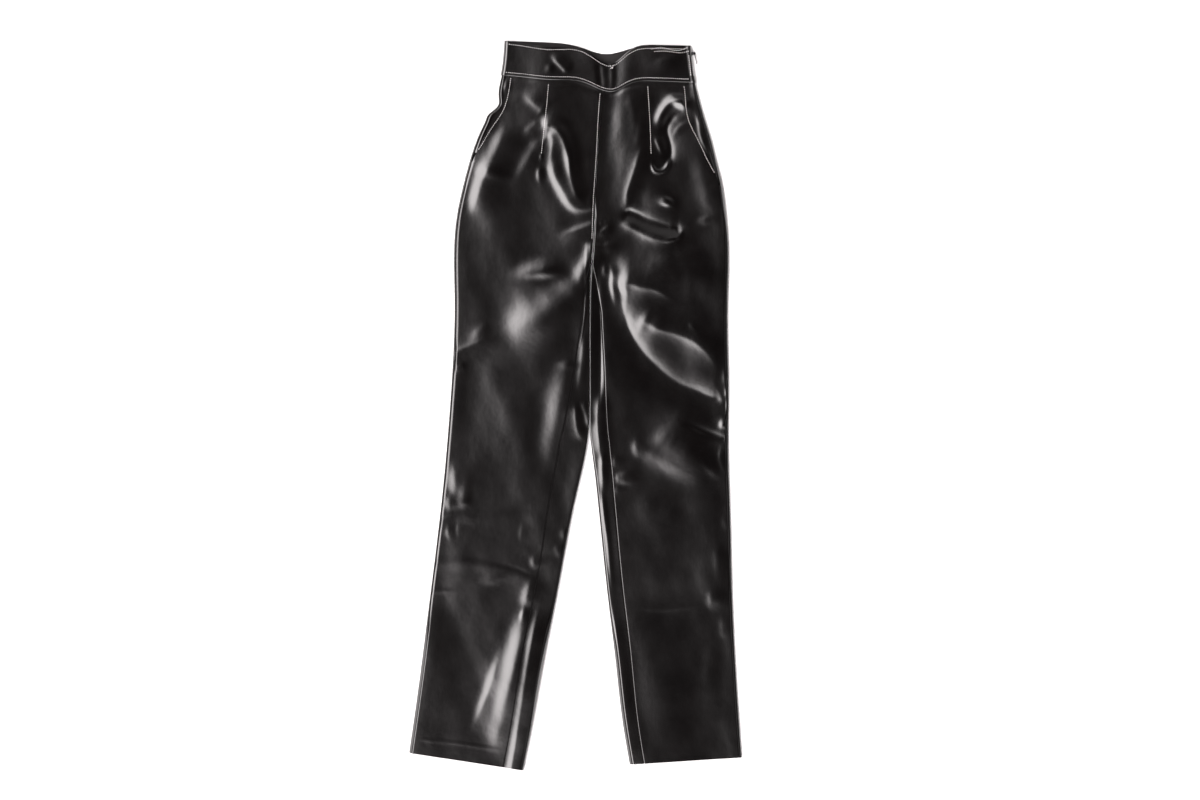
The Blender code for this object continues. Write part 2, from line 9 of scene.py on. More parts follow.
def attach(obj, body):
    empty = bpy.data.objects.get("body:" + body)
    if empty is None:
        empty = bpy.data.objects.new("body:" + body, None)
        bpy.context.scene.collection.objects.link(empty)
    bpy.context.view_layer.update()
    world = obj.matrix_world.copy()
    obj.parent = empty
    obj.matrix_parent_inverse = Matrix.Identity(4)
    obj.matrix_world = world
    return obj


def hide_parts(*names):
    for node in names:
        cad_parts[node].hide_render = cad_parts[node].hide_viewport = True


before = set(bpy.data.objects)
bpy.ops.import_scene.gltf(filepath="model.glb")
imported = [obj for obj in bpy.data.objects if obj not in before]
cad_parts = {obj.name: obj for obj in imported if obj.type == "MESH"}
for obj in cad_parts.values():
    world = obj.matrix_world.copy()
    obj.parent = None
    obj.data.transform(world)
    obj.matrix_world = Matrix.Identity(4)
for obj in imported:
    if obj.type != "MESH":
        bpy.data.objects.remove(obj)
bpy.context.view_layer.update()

mm = 0.001

# The laid form. Tables are in millimetres: "down" is the distance below the highest point of the waist, x runs
# to the wearer's left, and every piece of cloth is a wall on this one form.
cut = {
    "laidLength": 1070.0, "cloth": 1.2, "seamGap": 0.3, "bandLap": 7.0,
    "edgeHeight": 3.6, "underRound": 4.0, "crotchStarts": 225.0, "crotchEnds": 325.0,
    "beadFades": 26.0, "calmFrom": 0.8, "liesClear": 0.6, "liftShare": 1.6, "liftSlack": 0.1, "liftFades": (75, 120),
    "softStop": 0.8, "crotchSetback": 1.6, "setbackFades": (0.1, 0.4),
    "hemOuter": {"right": 1044.0, "left": 1051.0}, "hemInner": {"right": 1070.0, "left": 1061.0},
    "waistOuter": {"right": 0.0, "left": 8.0}, "bandOuter": {"right": 51.0, "left": 62.0},
    "waistInner": 5.0, "bandInner": 57.0,
}
look = {  # how the cloth lies: slow unevenness, small puckers, and how the creases die away at the folds
    "ripple": [(0, 1.3), (560, 1.25), (760, 0.85), (1070, 0.75)], "rippleLength": 95.0, "rippleSeed": 4,
    "pucker": 0.15, "puckerLength": 34.0, "puckerSeed": 9,
    "waves": 7, "waveTurn": 0.55, "waveSizes": (0.6, 1.7), "unevenFrom": 25.0,
    "innerRound": [(0, 3.6), (230, 3.6), (300, 0.3), (570, 0.3), (640, 3.6)],
    "crest": 1.3, "outerFade": 6.0, "innerFade": 1.7, "dentFades": (2, 14),
    "placeBlur": 2.5, "pathBlur": 1.5, "farBlur": 0.15, "reach": 3.5, "taper": 0.25,
}
farAway = 1000.0  # a distance from the inner fold where there is none, above the crotch
signOf = {"right": -1.0, "left": 1.0}

outerFold = {
    "right": [(0, -103), (48, -108), (60, -110.5), (74, -113), (86, -112.8), (95, -113.8), (102, -120.5),
              (108, -127.8), (116, -131.8), (131, -138.5), (160, -150), (190, -159), (222, -167),
              (260, -174.5), (300, -178), (380, -177.5), (453, -179), (527, -183.5),
              (586, -188), (703, -199.6), (820, -214), (938, -229), (1044, -244)],
    "left": [(0, 168), (42, 172), (86, 182), (116, 190.5), (145, 199.5), (175, 207), (204, 214.5),
             (240, 220), (292, 224.5), (340, 225), (400, 223.5), (498, 225), (586, 224.5),
             (703, 227.5), (820, 230.5), (938, 236.3), (1051, 244)],
}
innerFold = {
    "right": [(0, 44), (60, 42), (130, 35.5), (204, 30.5), (292, 26.2), (324, 23.4), (380, 21.2), (460, 20.8),
              (540, 20.5), (586, 18.2), (630, 10.3), (674, 0), (732, -11.7), (820, -28), (909, -45.5),
              (997, -61.5), (1070, -76.3)],
    "left": [(0, 44), (60, 42), (130, 35.5), (204, 30.6), (250, 28.6), (292, 26.6), (324, 24), (380, 21.6),
             (460, 21.2), (540, 21), (586, 22), (630, 27.4), (674, 32.3), (732, 38.2), (820, 47.6),
             (909, 58.5), (997, 68.6), (1061, 79.3)],
}
inseamInset = {  # how far the inner leg seam lies on the front, in from the inner fold
    "right": [(325, 0), (351, 5), (398, 9), (473, 20), (520, 27), (556, 34), (593, 40), (660, 38),
              (749, 33), (897, 33), (1070, 29)],
    "left": [(325, 0), (351, 8), (398, 17), (473, 21), (520, 23), (592, 27), (660, 25), (749, 24),
             (897, 23.5), (1061, 21.5)],
}
outseamInset = [(0, 1), (170, 2), (225, 5), (1070, 5)]
foldBead = [(0, 4.6), (60, 4.6), (130, 4.8), (200, 4.8), (300, 4.4), (400, 4.0), (520, 3.6), (1070, 3.2)]
foldLevel = [(0, 8.6), (60, 8.4), (130, 7.8), (200, 7.4), (300, 6.6), (400, 5.2), (520, 4.6), (1070, 4.2)]
edgeRound = [(0, 3.5), (60, 4), (110, 5.5), (150, 6.5), (300, 6.5), (600, 6), (1070, 5)]
loft = [(0, -0.4), (130, 0.5), (200, 1.0), (300, 1.4), (400, 2.3), (520, 2.5), (1070, 2.5)]
pocketMouth = {
    "right": [(40, -97), (78, -102.5), (97, -106.5), (107, -112), (143, -133), (178, -151.5)],
    "left": [(40, 161), (91, 162.2), (105, 164.6), (121, 171), (140, 180), (165, 191.5), (192, 203), (222, 214.3)],
}
sagPower = 1.3
waistSags = [  # where the top edge of the front sinks towards the hem
    {"x": -38, "depth": 7, "right": 29, "left": 29, "fadesBy": 150},
    {"x": 51, "depth": 30, "right": 24, "left": 18.5, "fadesBy": 175},
]
backSagOf = {"x": 44.0, "depth": 15.0, "width": 27.0, "fadesBy": 140.0}


def curve(rows, at):  # a natural cubic spline through the rows, level past its ends
    xs, ys = np.array(rows, float).T
    count, step = len(xs), np.diff(xs)
    matrix, right = np.eye(count), np.zeros(count)
    for i in range(1, count - 1):
        matrix[i, i - 1:i + 2] = step[i - 1], 2 * (step[i - 1] + step[i]), step[i]
        right[i] = 6 * ((ys[i + 1] - ys[i]) / step[i] - (ys[i] - ys[i - 1]) / step[i - 1])
    bend = np.linalg.solve(matrix, right)
    at = np.clip(np.asarray(at, float), xs[0], xs[-1])
    i = np.clip(np.searchsorted(xs, at) - 1, 0, count - 2)
    a = (xs[i + 1] - at) / step[i]
    b = 1 - a
    return a * ys[i] + b * ys[i + 1] + ((a**3 - a) * bend[i] + (b**3 - b) * bend[i + 1]) * step[i] ** 2 / 6


def straight(rows, at):  # straight lines between the rows
    xs, ys = np.array(rows, float).T
    return np.interp(at, xs, ys)


def smooth(low, high, value):  # 0 up to low, 1 from high on
    t = np.clip((value - low) / (high - low), 0, 1)
    return t * t * (3 - 2 * t)


def rounded(share):  # a quarter ellipse: 0 at the fold line, level from 1 on
    return np.sqrt(1 - (1 - np.clip(share, 0, 1)) ** 2)


def frontSag(x, down):
    total = np.zeros_like(x)
    for sag in waistSags:
        width = np.where(x < sag["x"], sag["right"], sag["left"])
        fade = np.clip(1 - down / sag["fadesBy"], 0, 1) ** sagPower
        total += sag["depth"] * fade * np.exp(-0.5 * ((x - sag["x"]) / width) ** 2)
    return total


def backSag(x, down):
    fade = np.clip(1 - down / backSagOf["fadesBy"], 0, 1)
    return backSagOf["depth"] * fade * np.exp(-0.5 * ((x - backSagOf["x"]) / backSagOf["width"]) ** 2)


# Creases, listed one by one. Each is a ridge above zero or a trough below, and follows a smooth line:
# name: (height, half width a, half width b, steep side, shares of its length over which it dies away at its two
# ends, points (x, down)). For a line drawn down the leg, side a is towards the wearer's right and b towards the
# left. On its steep side the cloth falls away straight from the crest.
frontCreases = {
    # waist and band
    "waist dip": (-1.3, 17, 15, "", (0, 0.6), [(55, -16), (55, 50), (51, 116), (43, 204)]),
    "dip middle ridge": (0.5, 4, 4, "", (0, 0.5), [(52, 22), (54, 57), (52, 87)]),
    "dip right side": (0.58, 8.9, 22.3, "", (0.3, 0.4), [(79, 73), (86, 100), (88, 122), (83, 146)]),
    "dip left hollow": (-0.6, 4, 4, "", (0.2, 0.4), [(34, 31), (36, 54), (39, 79)]),
    "band diagonal": (1.03, 3.8, 9.2, "", (0.4, 0.2), [(-38, 19), (-25, 32), (-9, 49)]),
    "band patch": (0.45, 6.5, 5, "", (0.4, 0.4), [(-43, 40), (-37, 42), (-32, 43)]),
    "below band": (-0.38, 3.4, 3.6, "", (0.03, 0.03), [(-112, 50), (-79, 56), (-50, 59), (-20, 62), (-1, 64),
        (18, 70), (36, 76), (51, 79), (61, 76), (71, 70), (83, 66), (105, 64), (139, 64), (178, 64)]),
    "band right wave": (0.78, 12.8, 25.5, "", (0.4, 0.4), [(125, 20), (134, 52)]),
    # hip and front, wearer's right
    "right hip side": (2.13, 14, 30.9, "", (0.4, 0.2), [(-98, 116), (-107, 146), (-119, 175), (-131, 207)]),
    "right hip side two": (1.69, 11.5, 23, "", (0.25, 0.4), [(-124, 177), (-134, 207), (-144, 239), (-153, 265)]),
    "right facing glow": (0.63, 3.8, 6.9, "", (0.4, 0.4), [(-101, 55), (-102, 67), (-105, 78)]),
    "right notch line": (0.37, 2.6, 4.1, "", (0.3, 0.2), [(-109, 97), (-117, 101), (-126, 106)]),
    "top diagonal": (1.1, 7.7, 15.3, "", (0.6, 0.1), [(-81, 73), (-62, 88), (-45, 103)]),
    "dart fan one": (0.52, 6.4, 12.8, "", (0.2, 0.5), [(-52, 119), (-64, 130), (-79, 140)]),
    "dart fan two": (1.04, 10.2, 18.4, "", (0.2, 0.5), [(-47, 140), (-61, 164), (-78, 195), (-97, 225)]),
    "dart pucker": (0.71, 3.8, 6.1, "", (0.3, 0.5), [(-52, 184), (-53, 196), (-50, 212)]),
    "dart end": (0.5, 1.8, 1.8, "", (0.4, 0.4), [(-50, 166), (-50, 176)]),
    "arch outer": (2.2, 8.8, 12.7, "a", (0.12, 0.25), [(-51, 128), (-40, 125), (-30, 129), (-21, 139), (-15, 154),
        (-10, 175), (-8, 197)]),
    "arch outer low": (2.03, 8.8, 13.7, "a", (0.3, 0.35), [(-10, 172), (-7, 195), (-1, 219), (7, 235), (17, 244)]),
    "arch inner top": (1.33, 6.8, 15.6, "a", (0.25, 0.5), [(-43, 131), (-35, 141), (-33, 151), (-34, 163),
        (-37, 183)]),
    "arch inner": (1.62, 8.3, 14.9, "", (0.28, 0.03), [(-32, 160), (-32, 183), (-28, 200), (-18, 219), (-9, 235),
        (-1, 243), (8, 245), (22, 242)]),
    # right leg
    "right crotch ridge": (1.44, 7, 21.1, "", (0.03, 0.6), [(25, 272), (8, 278), (-7, 283), (-30, 288)]),
    "right crotch edge": (2, 11.5, 18.4, "", (0.1, 0.4), [(29, 295), (22, 318), (13, 338), (7, 367)]),
    "right thigh streak": (3.09, 11.5, 16.1, "", (0.6, 0.45), [(-101, 347), (-74, 341), (-45, 338), (-5, 340)]),
    "right thigh glow": (3.12, 30.6, 36.8, "", (0.25, 0.6), [(35, 329), (2, 372), (-39, 406), (-86, 430),
        (-154, 465)]),
    "right thigh glow two": (0.47, 23, 34.5, "", (0.5, 0.5), [(-41, 392), (-72, 420), (-109, 441)]),
    "right thigh edge fold": (1.38, 7.8, 16.4, "a", (0.75, 0), [(-102, 436), (-134, 442), (-156, 449),
        (-177, 459)]),
    "right thigh edge rise": (0.83, 10.2, 16.3, "", (0.5, 0.5), [(-126, 411), (-139, 429), (-155, 447)]),
    "right thigh edge two": (0.55, 3.8, 6.1, "", (0.5, 0), [(-160, 475), (-172, 480)]),
    "right column": (2.07, 19.1, 30.6, "", (0.4, 0.4), [(-1, 434), (-9, 478), (-17, 522), (-26, 565), (-34, 606),
        (-43, 656)]),
    "right column spot": (0.7, 11.5, 16.1, "", (0.5, 0.5), [(-12, 466), (-13, 486)]),
    "right strip bend": (1.29, 7.3, 9.7, "a", (0.3, 0.3), [(-1, 530), (1, 553), (5, 574), (15, 589)]),
    "right strip bend two": (0.73, 4.5, 8, "", (0.3, 0.3), [(8, 527), (16, 545), (20, 570)]),
    "right strip upper": (0.47, 5.1, 8.2, "", (0.3, 0.3), [(13, 424), (10, 476), (4, 519)]),
    "right knee patch": (1.36, 10.2, 38.8, "", (0.5, 0.45), [(-179, 608), (-174, 641), (-176, 677)]),
    "right knee patch two": (0.86, 7.7, 27.6, "", (0.5, 0.5), [(-182, 662), (-183, 678), (-182, 695)]),
    "right knee patch three": (0.82, 8.9, 26.8, "", (0.5, 0.5), [(-178, 672), (-148, 675)]),
    "right knee crease": (0.52, 5.1, 12.8, "", (0.7, 0), [(-52, 692), (-111, 695), (-155, 699), (-181, 699),
        (-196, 704)]),
    "right calf bump": (0.39, 3.8, 11.5, "", (0.5, 0.5), [(-183, 705), (-186, 720), (-179, 736)]),
    "right calf bump two": (0.35, 3.8, 11.5, "", (0.5, 0.5), [(-170, 703), (-171, 718), (-170, 732)]),
    "right calf crease": (0.47, 4.6, 11.5, "", (0.2, 0), [(-56, 793), (-100, 777), (-133, 769), (-170, 764),
        (-205, 764)]),
    "right calf line": (0.28, 3.1, 9.2, "", (0.6, 0.3), [(-116, 763), (-87, 770), (-57, 783)]),
    "right calf seam spot": (0.78, 6.4, 19.1, "", (0.5, 0.5), [(-61, 750), (-58, 780)]),
    "right calf swell": (1.28, 8.9, 23.2, "", (0.5, 0.4), [(-61, 781), (-67, 807), (-74, 837)]),
    "right calf mark": (0.27, 3.8, 9.6, "", (0.5, 0.5), [(-77, 702), (-80, 740)]),
    "right calf patch": (0.69, 15.3, 23, "", (0.5, 0.5), [(-124, 774), (-116, 803)]),
    "right nick": (0.34, 2.8, 4.5, "", (0.6, 0), [(-172, 805), (-190, 806), (-208, 806)]),
    "right shin streak": (2.72, 16.6, 49.8, "", (0.3, 0.4), [(-67, 820), (-76, 870), (-85, 911), (-97, 959),
        (-114, 1018)]),
    "right shin streak two": (1.02, 7.7, 15.3, "", (0.4, 0.45), [(-106, 881), (-116, 922), (-128, 960), (-140, 990),
        (-154, 1025)]),
    "right shin foot": (0.61, 11.5, 28.7, "", (0.5, 0.5), [(-97, 982), (-109, 1014), (-124, 1047)]),
    "right shin mark": (0.55, 3.8, 7.7, "", (0.5, 0.5), [(-74, 827), (-77, 842), (-80, 856)]),
    "right strip streak": (1.3, 7, 21.1, "", (0.3, 0), [(-47, 810), (-58, 858), (-67, 909), (-81, 997),
        (-93, 1069)]),
    "right strip patch": (0.52, 6.4, 10.2, "", (0.4, 0.4), [(4, 671), (1, 701), (-4, 733)]),
    "right strip patch two": (0.52, 6.4, 10.2, "", (0.4, 0.4), [(-18, 714), (-14, 733)]),
    "right strip patch three": (0.52, 6.4, 10.2, "", (0.4, 0.4), [(-29, 737), (-20, 760)]),
    # hip and front, wearer's left
    "left arch top": (1.9, 7.7, 10.7, "", (0.1, 0.35), [(162, 88), (149, 89), (138, 94), (130, 103), (124, 115),
        (118, 134)]),
    "left arch patch": (1.86, 16.6, 26.5, "", (0.4, 0.4), [(156, 78), (153, 89), (148, 100)]),
    "left loop": (-1.25, 8.8, 5.6, "b", (0.25, 0.15), [(158, 106), (148, 108), (139, 117), (134, 132), (137, 145),
        (140, 159), (139, 172), (135, 183)]),
    "left loop hook": (1.15, 3, 3, "", (0.3, 0.3), [(112, 175), (113, 185), (118, 192), (127, 192), (135, 184),
        (139, 170)]),
    "left loop inner": (0.63, 3.1, 8, "", (0.3, 0.35), [(116, 140), (122, 153), (128, 169)]),
    "left mouth crease": (0.34, 2.6, 5.6, "", (0.02, 0.5), [(166, 120), (153, 127), (142, 145)]),
    "left facing crease": (0.54, 3.3, 6, "", (0.3, 0.3), [(173, 103), (179, 114), (182, 127), (185, 142),
        (192, 158), (198, 171)]),
    "left facing crease two": (0.4, 2.8, 4.5, "", (0.3, 0.3), [(186, 105), (189, 118), (193, 133)]),
    "left fly column": (0.62, 12.8, 20.4, "", (0.35, 0.35), [(83, 133), (73, 179), (65, 221), (55, 256)]),
    "left fly soft": (0.5, 7.7, 13.8, "", (0.4, 0.4), [(97, 110), (96, 134), (88, 164)]),
    "left fly line": (1.47, 8.3, 17, "a", (0.4, 0.04), [(102, 145), (93, 170), (85, 197), (77, 222), (76, 247)]),
    "leaf upper rim": (-2.15, 15, 8.3, "b", (0.08, 0.13), [(74, 247), (90, 255), (106, 263), (123, 269), (140, 274),
        (159, 276)]),
    "leaf end": (0.55, 3, 3, "", (0.35, 0.35), [(158, 276), (155, 284), (143, 292), (125, 294)]),
    "leaf lower rim": (2.28, 8.8, 15.9, "a", (0.3, 0.1), [(55, 260), (71, 268), (89, 277), (106, 286), (124, 291),
        (140, 291), (153, 285)]),
    "left hip spot": (1.7, 11, 11, "", (0.4, 0.4), [(137, 228), (134, 236), (131, 245)]),
    "left hip glow": (1.16, 17.9, 28.6, "", (0.35, 0.4), [(186, 158), (192, 202), (199, 237), (214, 276)]),
    "left hip glow two": (0.83, 10.2, 15.3, "", (0.5, 0.5), [(188, 253), (193, 276)]),
    "left hip edge": (0.54, 3.3, 6, "", (0.25, 0.25), [(217, 233), (220, 262), (225, 295)]),
    "left crotch ridge": (0.63, 3.8, 7.7, "", (0.5, 0.3), [(55, 268), (44, 278), (33, 287)]),
    "left crotch column": (0.78, 7.7, 13.8, "", (0.4, 0.4), [(47, 291), (52, 315)]),
    "left crotch spot": (0.84, 5.1, 8.2, "", (0.4, 0.4), [(42, 324), (44, 336), (42, 350)]),
    "left crotch squiggle": (0.94, 4.6, 8.3, "", (0.25, 0.4), [(49, 323), (55, 340), (55, 358), (58, 377),
        (58, 395)]),
    # left leg
    "left thigh high": (0.62, 12.8, 19.1, "", (0.5, 0.5), [(121, 310), (152, 321), (185, 297)]),
    "left thigh middle": (0.7, 11.5, 17.2, "", (0.4, 0.4), [(167, 324), (169, 358), (167, 388)]),
    "left thigh upper": (3.98, 19.6, 35.2, "a", (0.2, 0.6), [(57, 360), (76, 355), (96, 360), (118, 365),
        (136, 376), (159, 389)]),
    "left thigh upper tip": (0.73, 8.9, 10.7, "", (0.4, 0.5), [(64, 364), (79, 361)]),
    "left thigh second": (2.62, 13.5, 27.4, "a", (0.25, 0.45), [(83, 410), (102, 411), (118, 420), (137, 426),
        (158, 433), (180, 445), (196, 461), (208, 479), (214, 498)]),
    "left thigh second tip": (0.69, 15.3, 23, "", (0.5, 0.5), [(89, 409), (111, 419)]),
    "left thigh main": (-3.12, 31.7, 14.7, "b", (0.25, 0.04), [(61, 363), (67, 386), (77, 421), (89, 444),
        (106, 466), (127, 486), (153, 505), (183, 517), (205, 525), (219, 521)]),
    "left thigh nick": (0.37, 2.6, 4.1, "", (0.4, 0.4), [(165, 415), (172, 420), (179, 424)]),
    "left edge hook": (0.63, 3.8, 6.1, "", (0.4, 0.4), [(218, 477), (219, 492), (218, 507)]),
    "left edge hook end": (1.43, 7.3, 7, "a", (0, 0.4), [(225, 514), (217, 523), (206, 525)]),
    "left knee spot": (0.94, 7.7, 15.3, "", (0.5, 0.5), [(91, 577), (91, 597), (96, 617)]),
    "left knee ridge": (1.97, 17.9, 35.7, "", (0.25, 0.6), [(90, 584), (111, 599), (137, 616), (166, 633),
        (207, 657)]),
    "left knee glow": (1.26, 28.1, 33.7, "", (0.4, 0.4), [(112, 575), (153, 587), (197, 599)]),
    "left knee tail": (0.65, 6.4, 15.3, "", (0.5, 0.5), [(180, 614), (199, 629), (217, 645)]),
    "left knee dark": (-0.9, 5, 5, "", (0.1, 0.5), [(224, 586), (192, 574), (153, 556)]),
    "left edge spot": (1.26, 5.1, 8.2, "", (0.4, 0), [(210, 563), (224, 564)]),
    "left edge bow": (0.47, 3.8, 9.2, "", (0.4, 0.4), [(219, 586), (213, 605), (216, 624), (226, 640)]),
    "left edge crumple": (0.4, 2.8, 6.7, "", (0.5, 0.5), [(221, 585), (224, 615)]),
    "left edge crease three": (0.42, 5.1, 12.3, "", (0.5, 0.5), [(217, 691), (223, 723)]),
    "left shin swell one": (0.75, 10.2, 24.5, "", (0.5, 0.5), [(208, 729), (211, 762), (209, 797)]),
    "left shin swell two": (0.69, 7.7, 19.9, "", (0.5, 0.5), [(201, 798), (201, 818), (198, 839)]),
    "left shin swell three": (0.53, 7.7, 12.3, "", (0.4, 0.4), [(216, 838), (218, 859), (216, 882)]),
    "left shin line": (0.35, 3.8, 6.9, "", (0.4, 0.4), [(83, 831), (121, 834), (159, 831), (185, 827)]),
    "left shin low": (0.5, 10.2, 16.3, "", (0.4, 0.4), [(199, 880), (197, 916), (193, 953)]),
    "left inseam pucker": (0.47, 3.8, 10, "", (0.5, 0.5), [(58, 603), (59, 632)]),
    "left inseam pucker two": (0.39, 3.8, 10, "", (0.5, 0.5), [(62, 630), (64, 653)]),
    "left inseam pucker three": (0.39, 3.8, 10, "", (0.5, 0.5), [(62, 650), (62, 668)]),
    "left inseam patch": (0.83, 10.2, 16.3, "", (0.4, 0.4), [(73, 626), (74, 656)]),
    # the strips of back panel beside the leg gap
    "left strip bulge": (2.16, 12.2, 14.7, "a", (0.3, 0.4), [(37, 509), (34, 533), (33, 562), (36, 594),
        (40, 630)]),
    "left strip edge light": (0.95, 5, 6, "", (0.25, 0.45), [(41, 603), (40, 627), (41, 647), (42, 668)]),
    "left strip edge light two": (0.62, 3.3, 5, "", (0.25, 0.45), [(38, 644), (40, 674), (43, 703), (47, 732),
        (50, 762), (56, 821)]),
    "left strip edge": (-0.93, 10.3, 2.7, "b", (0.25, 0.3), [(30, 324), (33, 365), (36, 410), (37, 454), (37, 498),
        (34, 545)]),
    "gap left line": (0.26, 1.3, 1.3, "", (0.15, 0.4), [(18, 289), (16, 333), (15, 380), (11, 424), (5, 456)]),
    # broad swells that turn the cloth away from the light or towards it
    "right thigh shade": (1.5, 23, 45.9, "", (0.5, 0.3), [(-95, 433), (-61, 416), (-34, 395), (-8, 366)]),
    "left strip shade": (0.91, 14, 28.1, "", (0.1, 0.4), [(80, 1062), (72, 968), (61, 895), (51, 822)]),
    "left hip shade": (1.49, 28.1, 44.9, "", (0.4, 0.4), [(175, 370), (172, 326), (166, 289)]),
    "left shin shade": (2.97, 56.2, 89.9, "", (0, 0.4), [(111, 1058), (102, 941), (90, 809)]),
    "left knee shade": (1.37, 28.1, 44.9, "", (0.4, 0.4), [(163, 720), (118, 690), (82, 660)]),
    "right shin broad": (2.4, 28.1, 42.1, "", (0.35, 0.4), [(-63, 859), (-79, 905), (-93, 961), (-111, 1012),
        (-126, 1058)]),
    "right shin flat": (2.96, 48.5, 87.3, "", (0, 0.4), [(-227, 1053), (-218, 935), (-207, 811)]),
    "left soft one": (0.75, 23, 36.8, "", (0.4, 0.5), [(198, 118), (184, 165), (169, 209)]),
    "left soft two": (0.62, 15.3, 24.5, "", (0.4, 0.5), [(193, 197), (199, 240), (208, 284)]),
    "left soft three": (0.94, 23, 36.8, "", (0.4, 0.5), [(147, 313), (121, 336), (102, 361)]),
    "left soft four": (1.16, 17.9, 28.6, "", (0.5, 0.5), [(201, 327), (195, 359), (186, 392)]),
    "left soft five": (0.68, 12.8, 20.4, "", (0.5, 0.5), [(115, 206), (109, 230), (103, 248)]),
    "left soft six": (1.5, 30.6, 49, "", (0.5, 0.5), [(187, 581), (172, 611), (154, 639)]),
    "left soft seven": (1.35, 25.5, 40.8, "", (0.5, 0.5), [(195, 731), (201, 790), (204, 849)]),
    "left soft eight": (0.93, 25.5, 40.8, "", (0.5, 0.5), [(127, 735), (119, 792), (124, 848)]),
    "left soft nine": (0.42, 20.4, 32.7, "", (0.5, 0.4), [(197, 907), (203, 966), (209, 1040)]),
    "right hem imprint": (0.22, 1.6, 1.6, "", (0.2, 0.2), [(-239, 1023), (-199, 1027), (-155, 1033), (-102, 1042)]),
}
backCreases = {
    "seat smile right": (0.7, 8, 6, "", (0.35, 0.35), [(-20, 300), (-70, 330), (-120, 320)]),
    "seat smile left": (0.8, 9, 6, "", (0.35, 0.35), [(70, 305), (120, 335), (170, 322)]),
    "knee right one": (0.9, 8, 6, "", (0.35, 0.35), [(-185, 700), (-140, 712), (-90, 704)]),
    "knee right two": (0.6, 6, 6, "", (0.35, 0.35), [(-180, 738), (-130, 745), (-70, 732)]),
    "knee left one": (0.9, 8, 7, "", (0.35, 0.35), [(228, 640), (180, 655), (120, 648)]),
    "knee left two": (0.6, 7, 7, "", (0.35, 0.35), [(60, 690), (110, 700), (170, 690)]),
    "calf right": (0.6, 10, 10, "", (0.35, 0.35), [(-90, 860), (-110, 910), (-125, 960)]),
    "calf left": (0.6, 10, 10, "", (0.35, 0.35), [(190, 850), (185, 910), (170, 980)]),
    "thigh right": (0.8, 10, 8, "", (0.35, 0.35), [(-150, 450), (-110, 480), (-60, 478)]),
    "thigh left": (0.8, 10, 8, "", (0.35, 0.35), [(90, 440), (140, 470), (200, 462)]),
}


def lengthAlong(path):  # the distance of each point from the first, along a line of (x, down)
    return np.concatenate([[0], np.cumsum(np.hypot(*np.diff(path, axis=0).T))])


def smoothPath(points, count=28):  # evenly spaced points on a smooth line through these
    points = np.array(points, float)
    if len(points) == 2:
        return points[0] + (points[1] - points[0]) * np.linspace(0, 1, count)[:, None]
    chord = lengthAlong(points)
    at = np.linspace(0, chord[-1], count)
    return np.stack([curve(np.stack([chord, points[:, k]], -1), at) for k in (0, 1)], -1)


def fadeOf(place, ends):  # 1 along the middle, dying away at each end
    start = smooth(0, ends[0], place) if ends[0] else 1.0
    end = smooth(0, ends[1], 1 - place) if ends[1] else 1.0
    return start * end


def placeAlong(point, path, best):  # 0 to 1 along the path, blended so that it never jumps
    square = ((point[:, None, :] - path[None]) ** 2).sum(-1)
    blur = 2 * max(look["placeBlur"], look["pathBlur"] * np.hypot(*(path[1] - path[0]))) ** 2
    blur = blur + look["farBlur"] * best[:, None] ** 2
    weight = np.exp(-(square - square.min(1, keepdims=True)) / blur)
    return weight @ np.linspace(0, 1, len(path)) / weight.sum(1)


def creaseHeight(x, down, creases):
    shape = x.shape
    x, down = x.ravel(), down.ravel()
    total = np.zeros_like(x)
    for height, a, b, steep, ends, points in creases.values():
        path = smoothPath(points)
        reach = look["reach"] * max(a, b)
        low, high = path.min(0) - reach, path.max(0) + reach
        near = np.flatnonzero((x > low[0]) & (x < high[0]) & (down > low[1]) & (down < high[1]))
        if not len(near):
            continue
        point = np.stack([x[near], down[near]], -1)
        best, side = np.full(len(near), np.inf), np.zeros(len(near))
        for i in range(len(path) - 1):
            run = path[i + 1] - path[i]
            away = point - path[i]
            part = np.clip((away @ run) / (run @ run), 0, 1)
            away = away - part[:, None] * run
            distance = np.hypot(away[:, 0], away[:, 1])
            nearer = distance < best
            best = np.where(nearer, distance, best)
            side = np.where(nearer, run[0] * away[:, 1] - run[1] * away[:, 0], side)
        fade = fadeOf(placeAlong(point, path, best), ends)
        width = np.where(side > 0, a, b) * (1 - look["taper"] + look["taper"] * fade)
        soft = np.exp(-((best / width) ** 2))
        straightOff = np.exp(-(np.hypot(best, look["crest"]) - look["crest"]) / width)
        onSteep = (side > 0) == (steep == "a") if steep else False
        total[near] += height * fade * np.where(onSteep, straightOff, soft)
    return total.reshape(shape)


def ripple(x, down, seed, length):  # slow unevenness of the cloth: waves that run mostly down the leg
    rng = np.random.default_rng(seed)
    total = np.zeros_like(x)
    for _ in range(look["waves"]):
        turn, size = rng.normal(0, look["waveTurn"]), length * rng.uniform(*look["waveSizes"])
        phase = rng.uniform(0, 2 * math.pi)
        total += np.sin((x * math.cos(turn) + down * math.sin(turn)) * 2 * math.pi / size + phase)
    return total / look["waves"]


def crotch(down):  # 0 where the body is one tube, 1 where each leg is its own
    return smooth(cut["crotchStarts"], cut["crotchEnds"], down)


def rowEnds(side, row):  # a row crosses a leg from (down at the outer fold) to (down at the inner fold)
    outer = np.array([curve(outerFold[side], row[0]), row[0]], float)
    inner = np.array([curve(innerFold[side], row[1]) + signOf[side] * cut["seamGap"] / 2, row[1]], float)
    return outer, inner


def rowWidth(side, row):
    outer, inner = rowEnds(side, row)
    return float(np.hypot(*(inner - outer)))


def underLift(down):  # how far the lapped back waistband holds the panels' underside up
    return (cut["cloth"] + cut["seamGap"] + cut["liftSlack"]) * (1 - smooth(*cut["liftFades"], down))


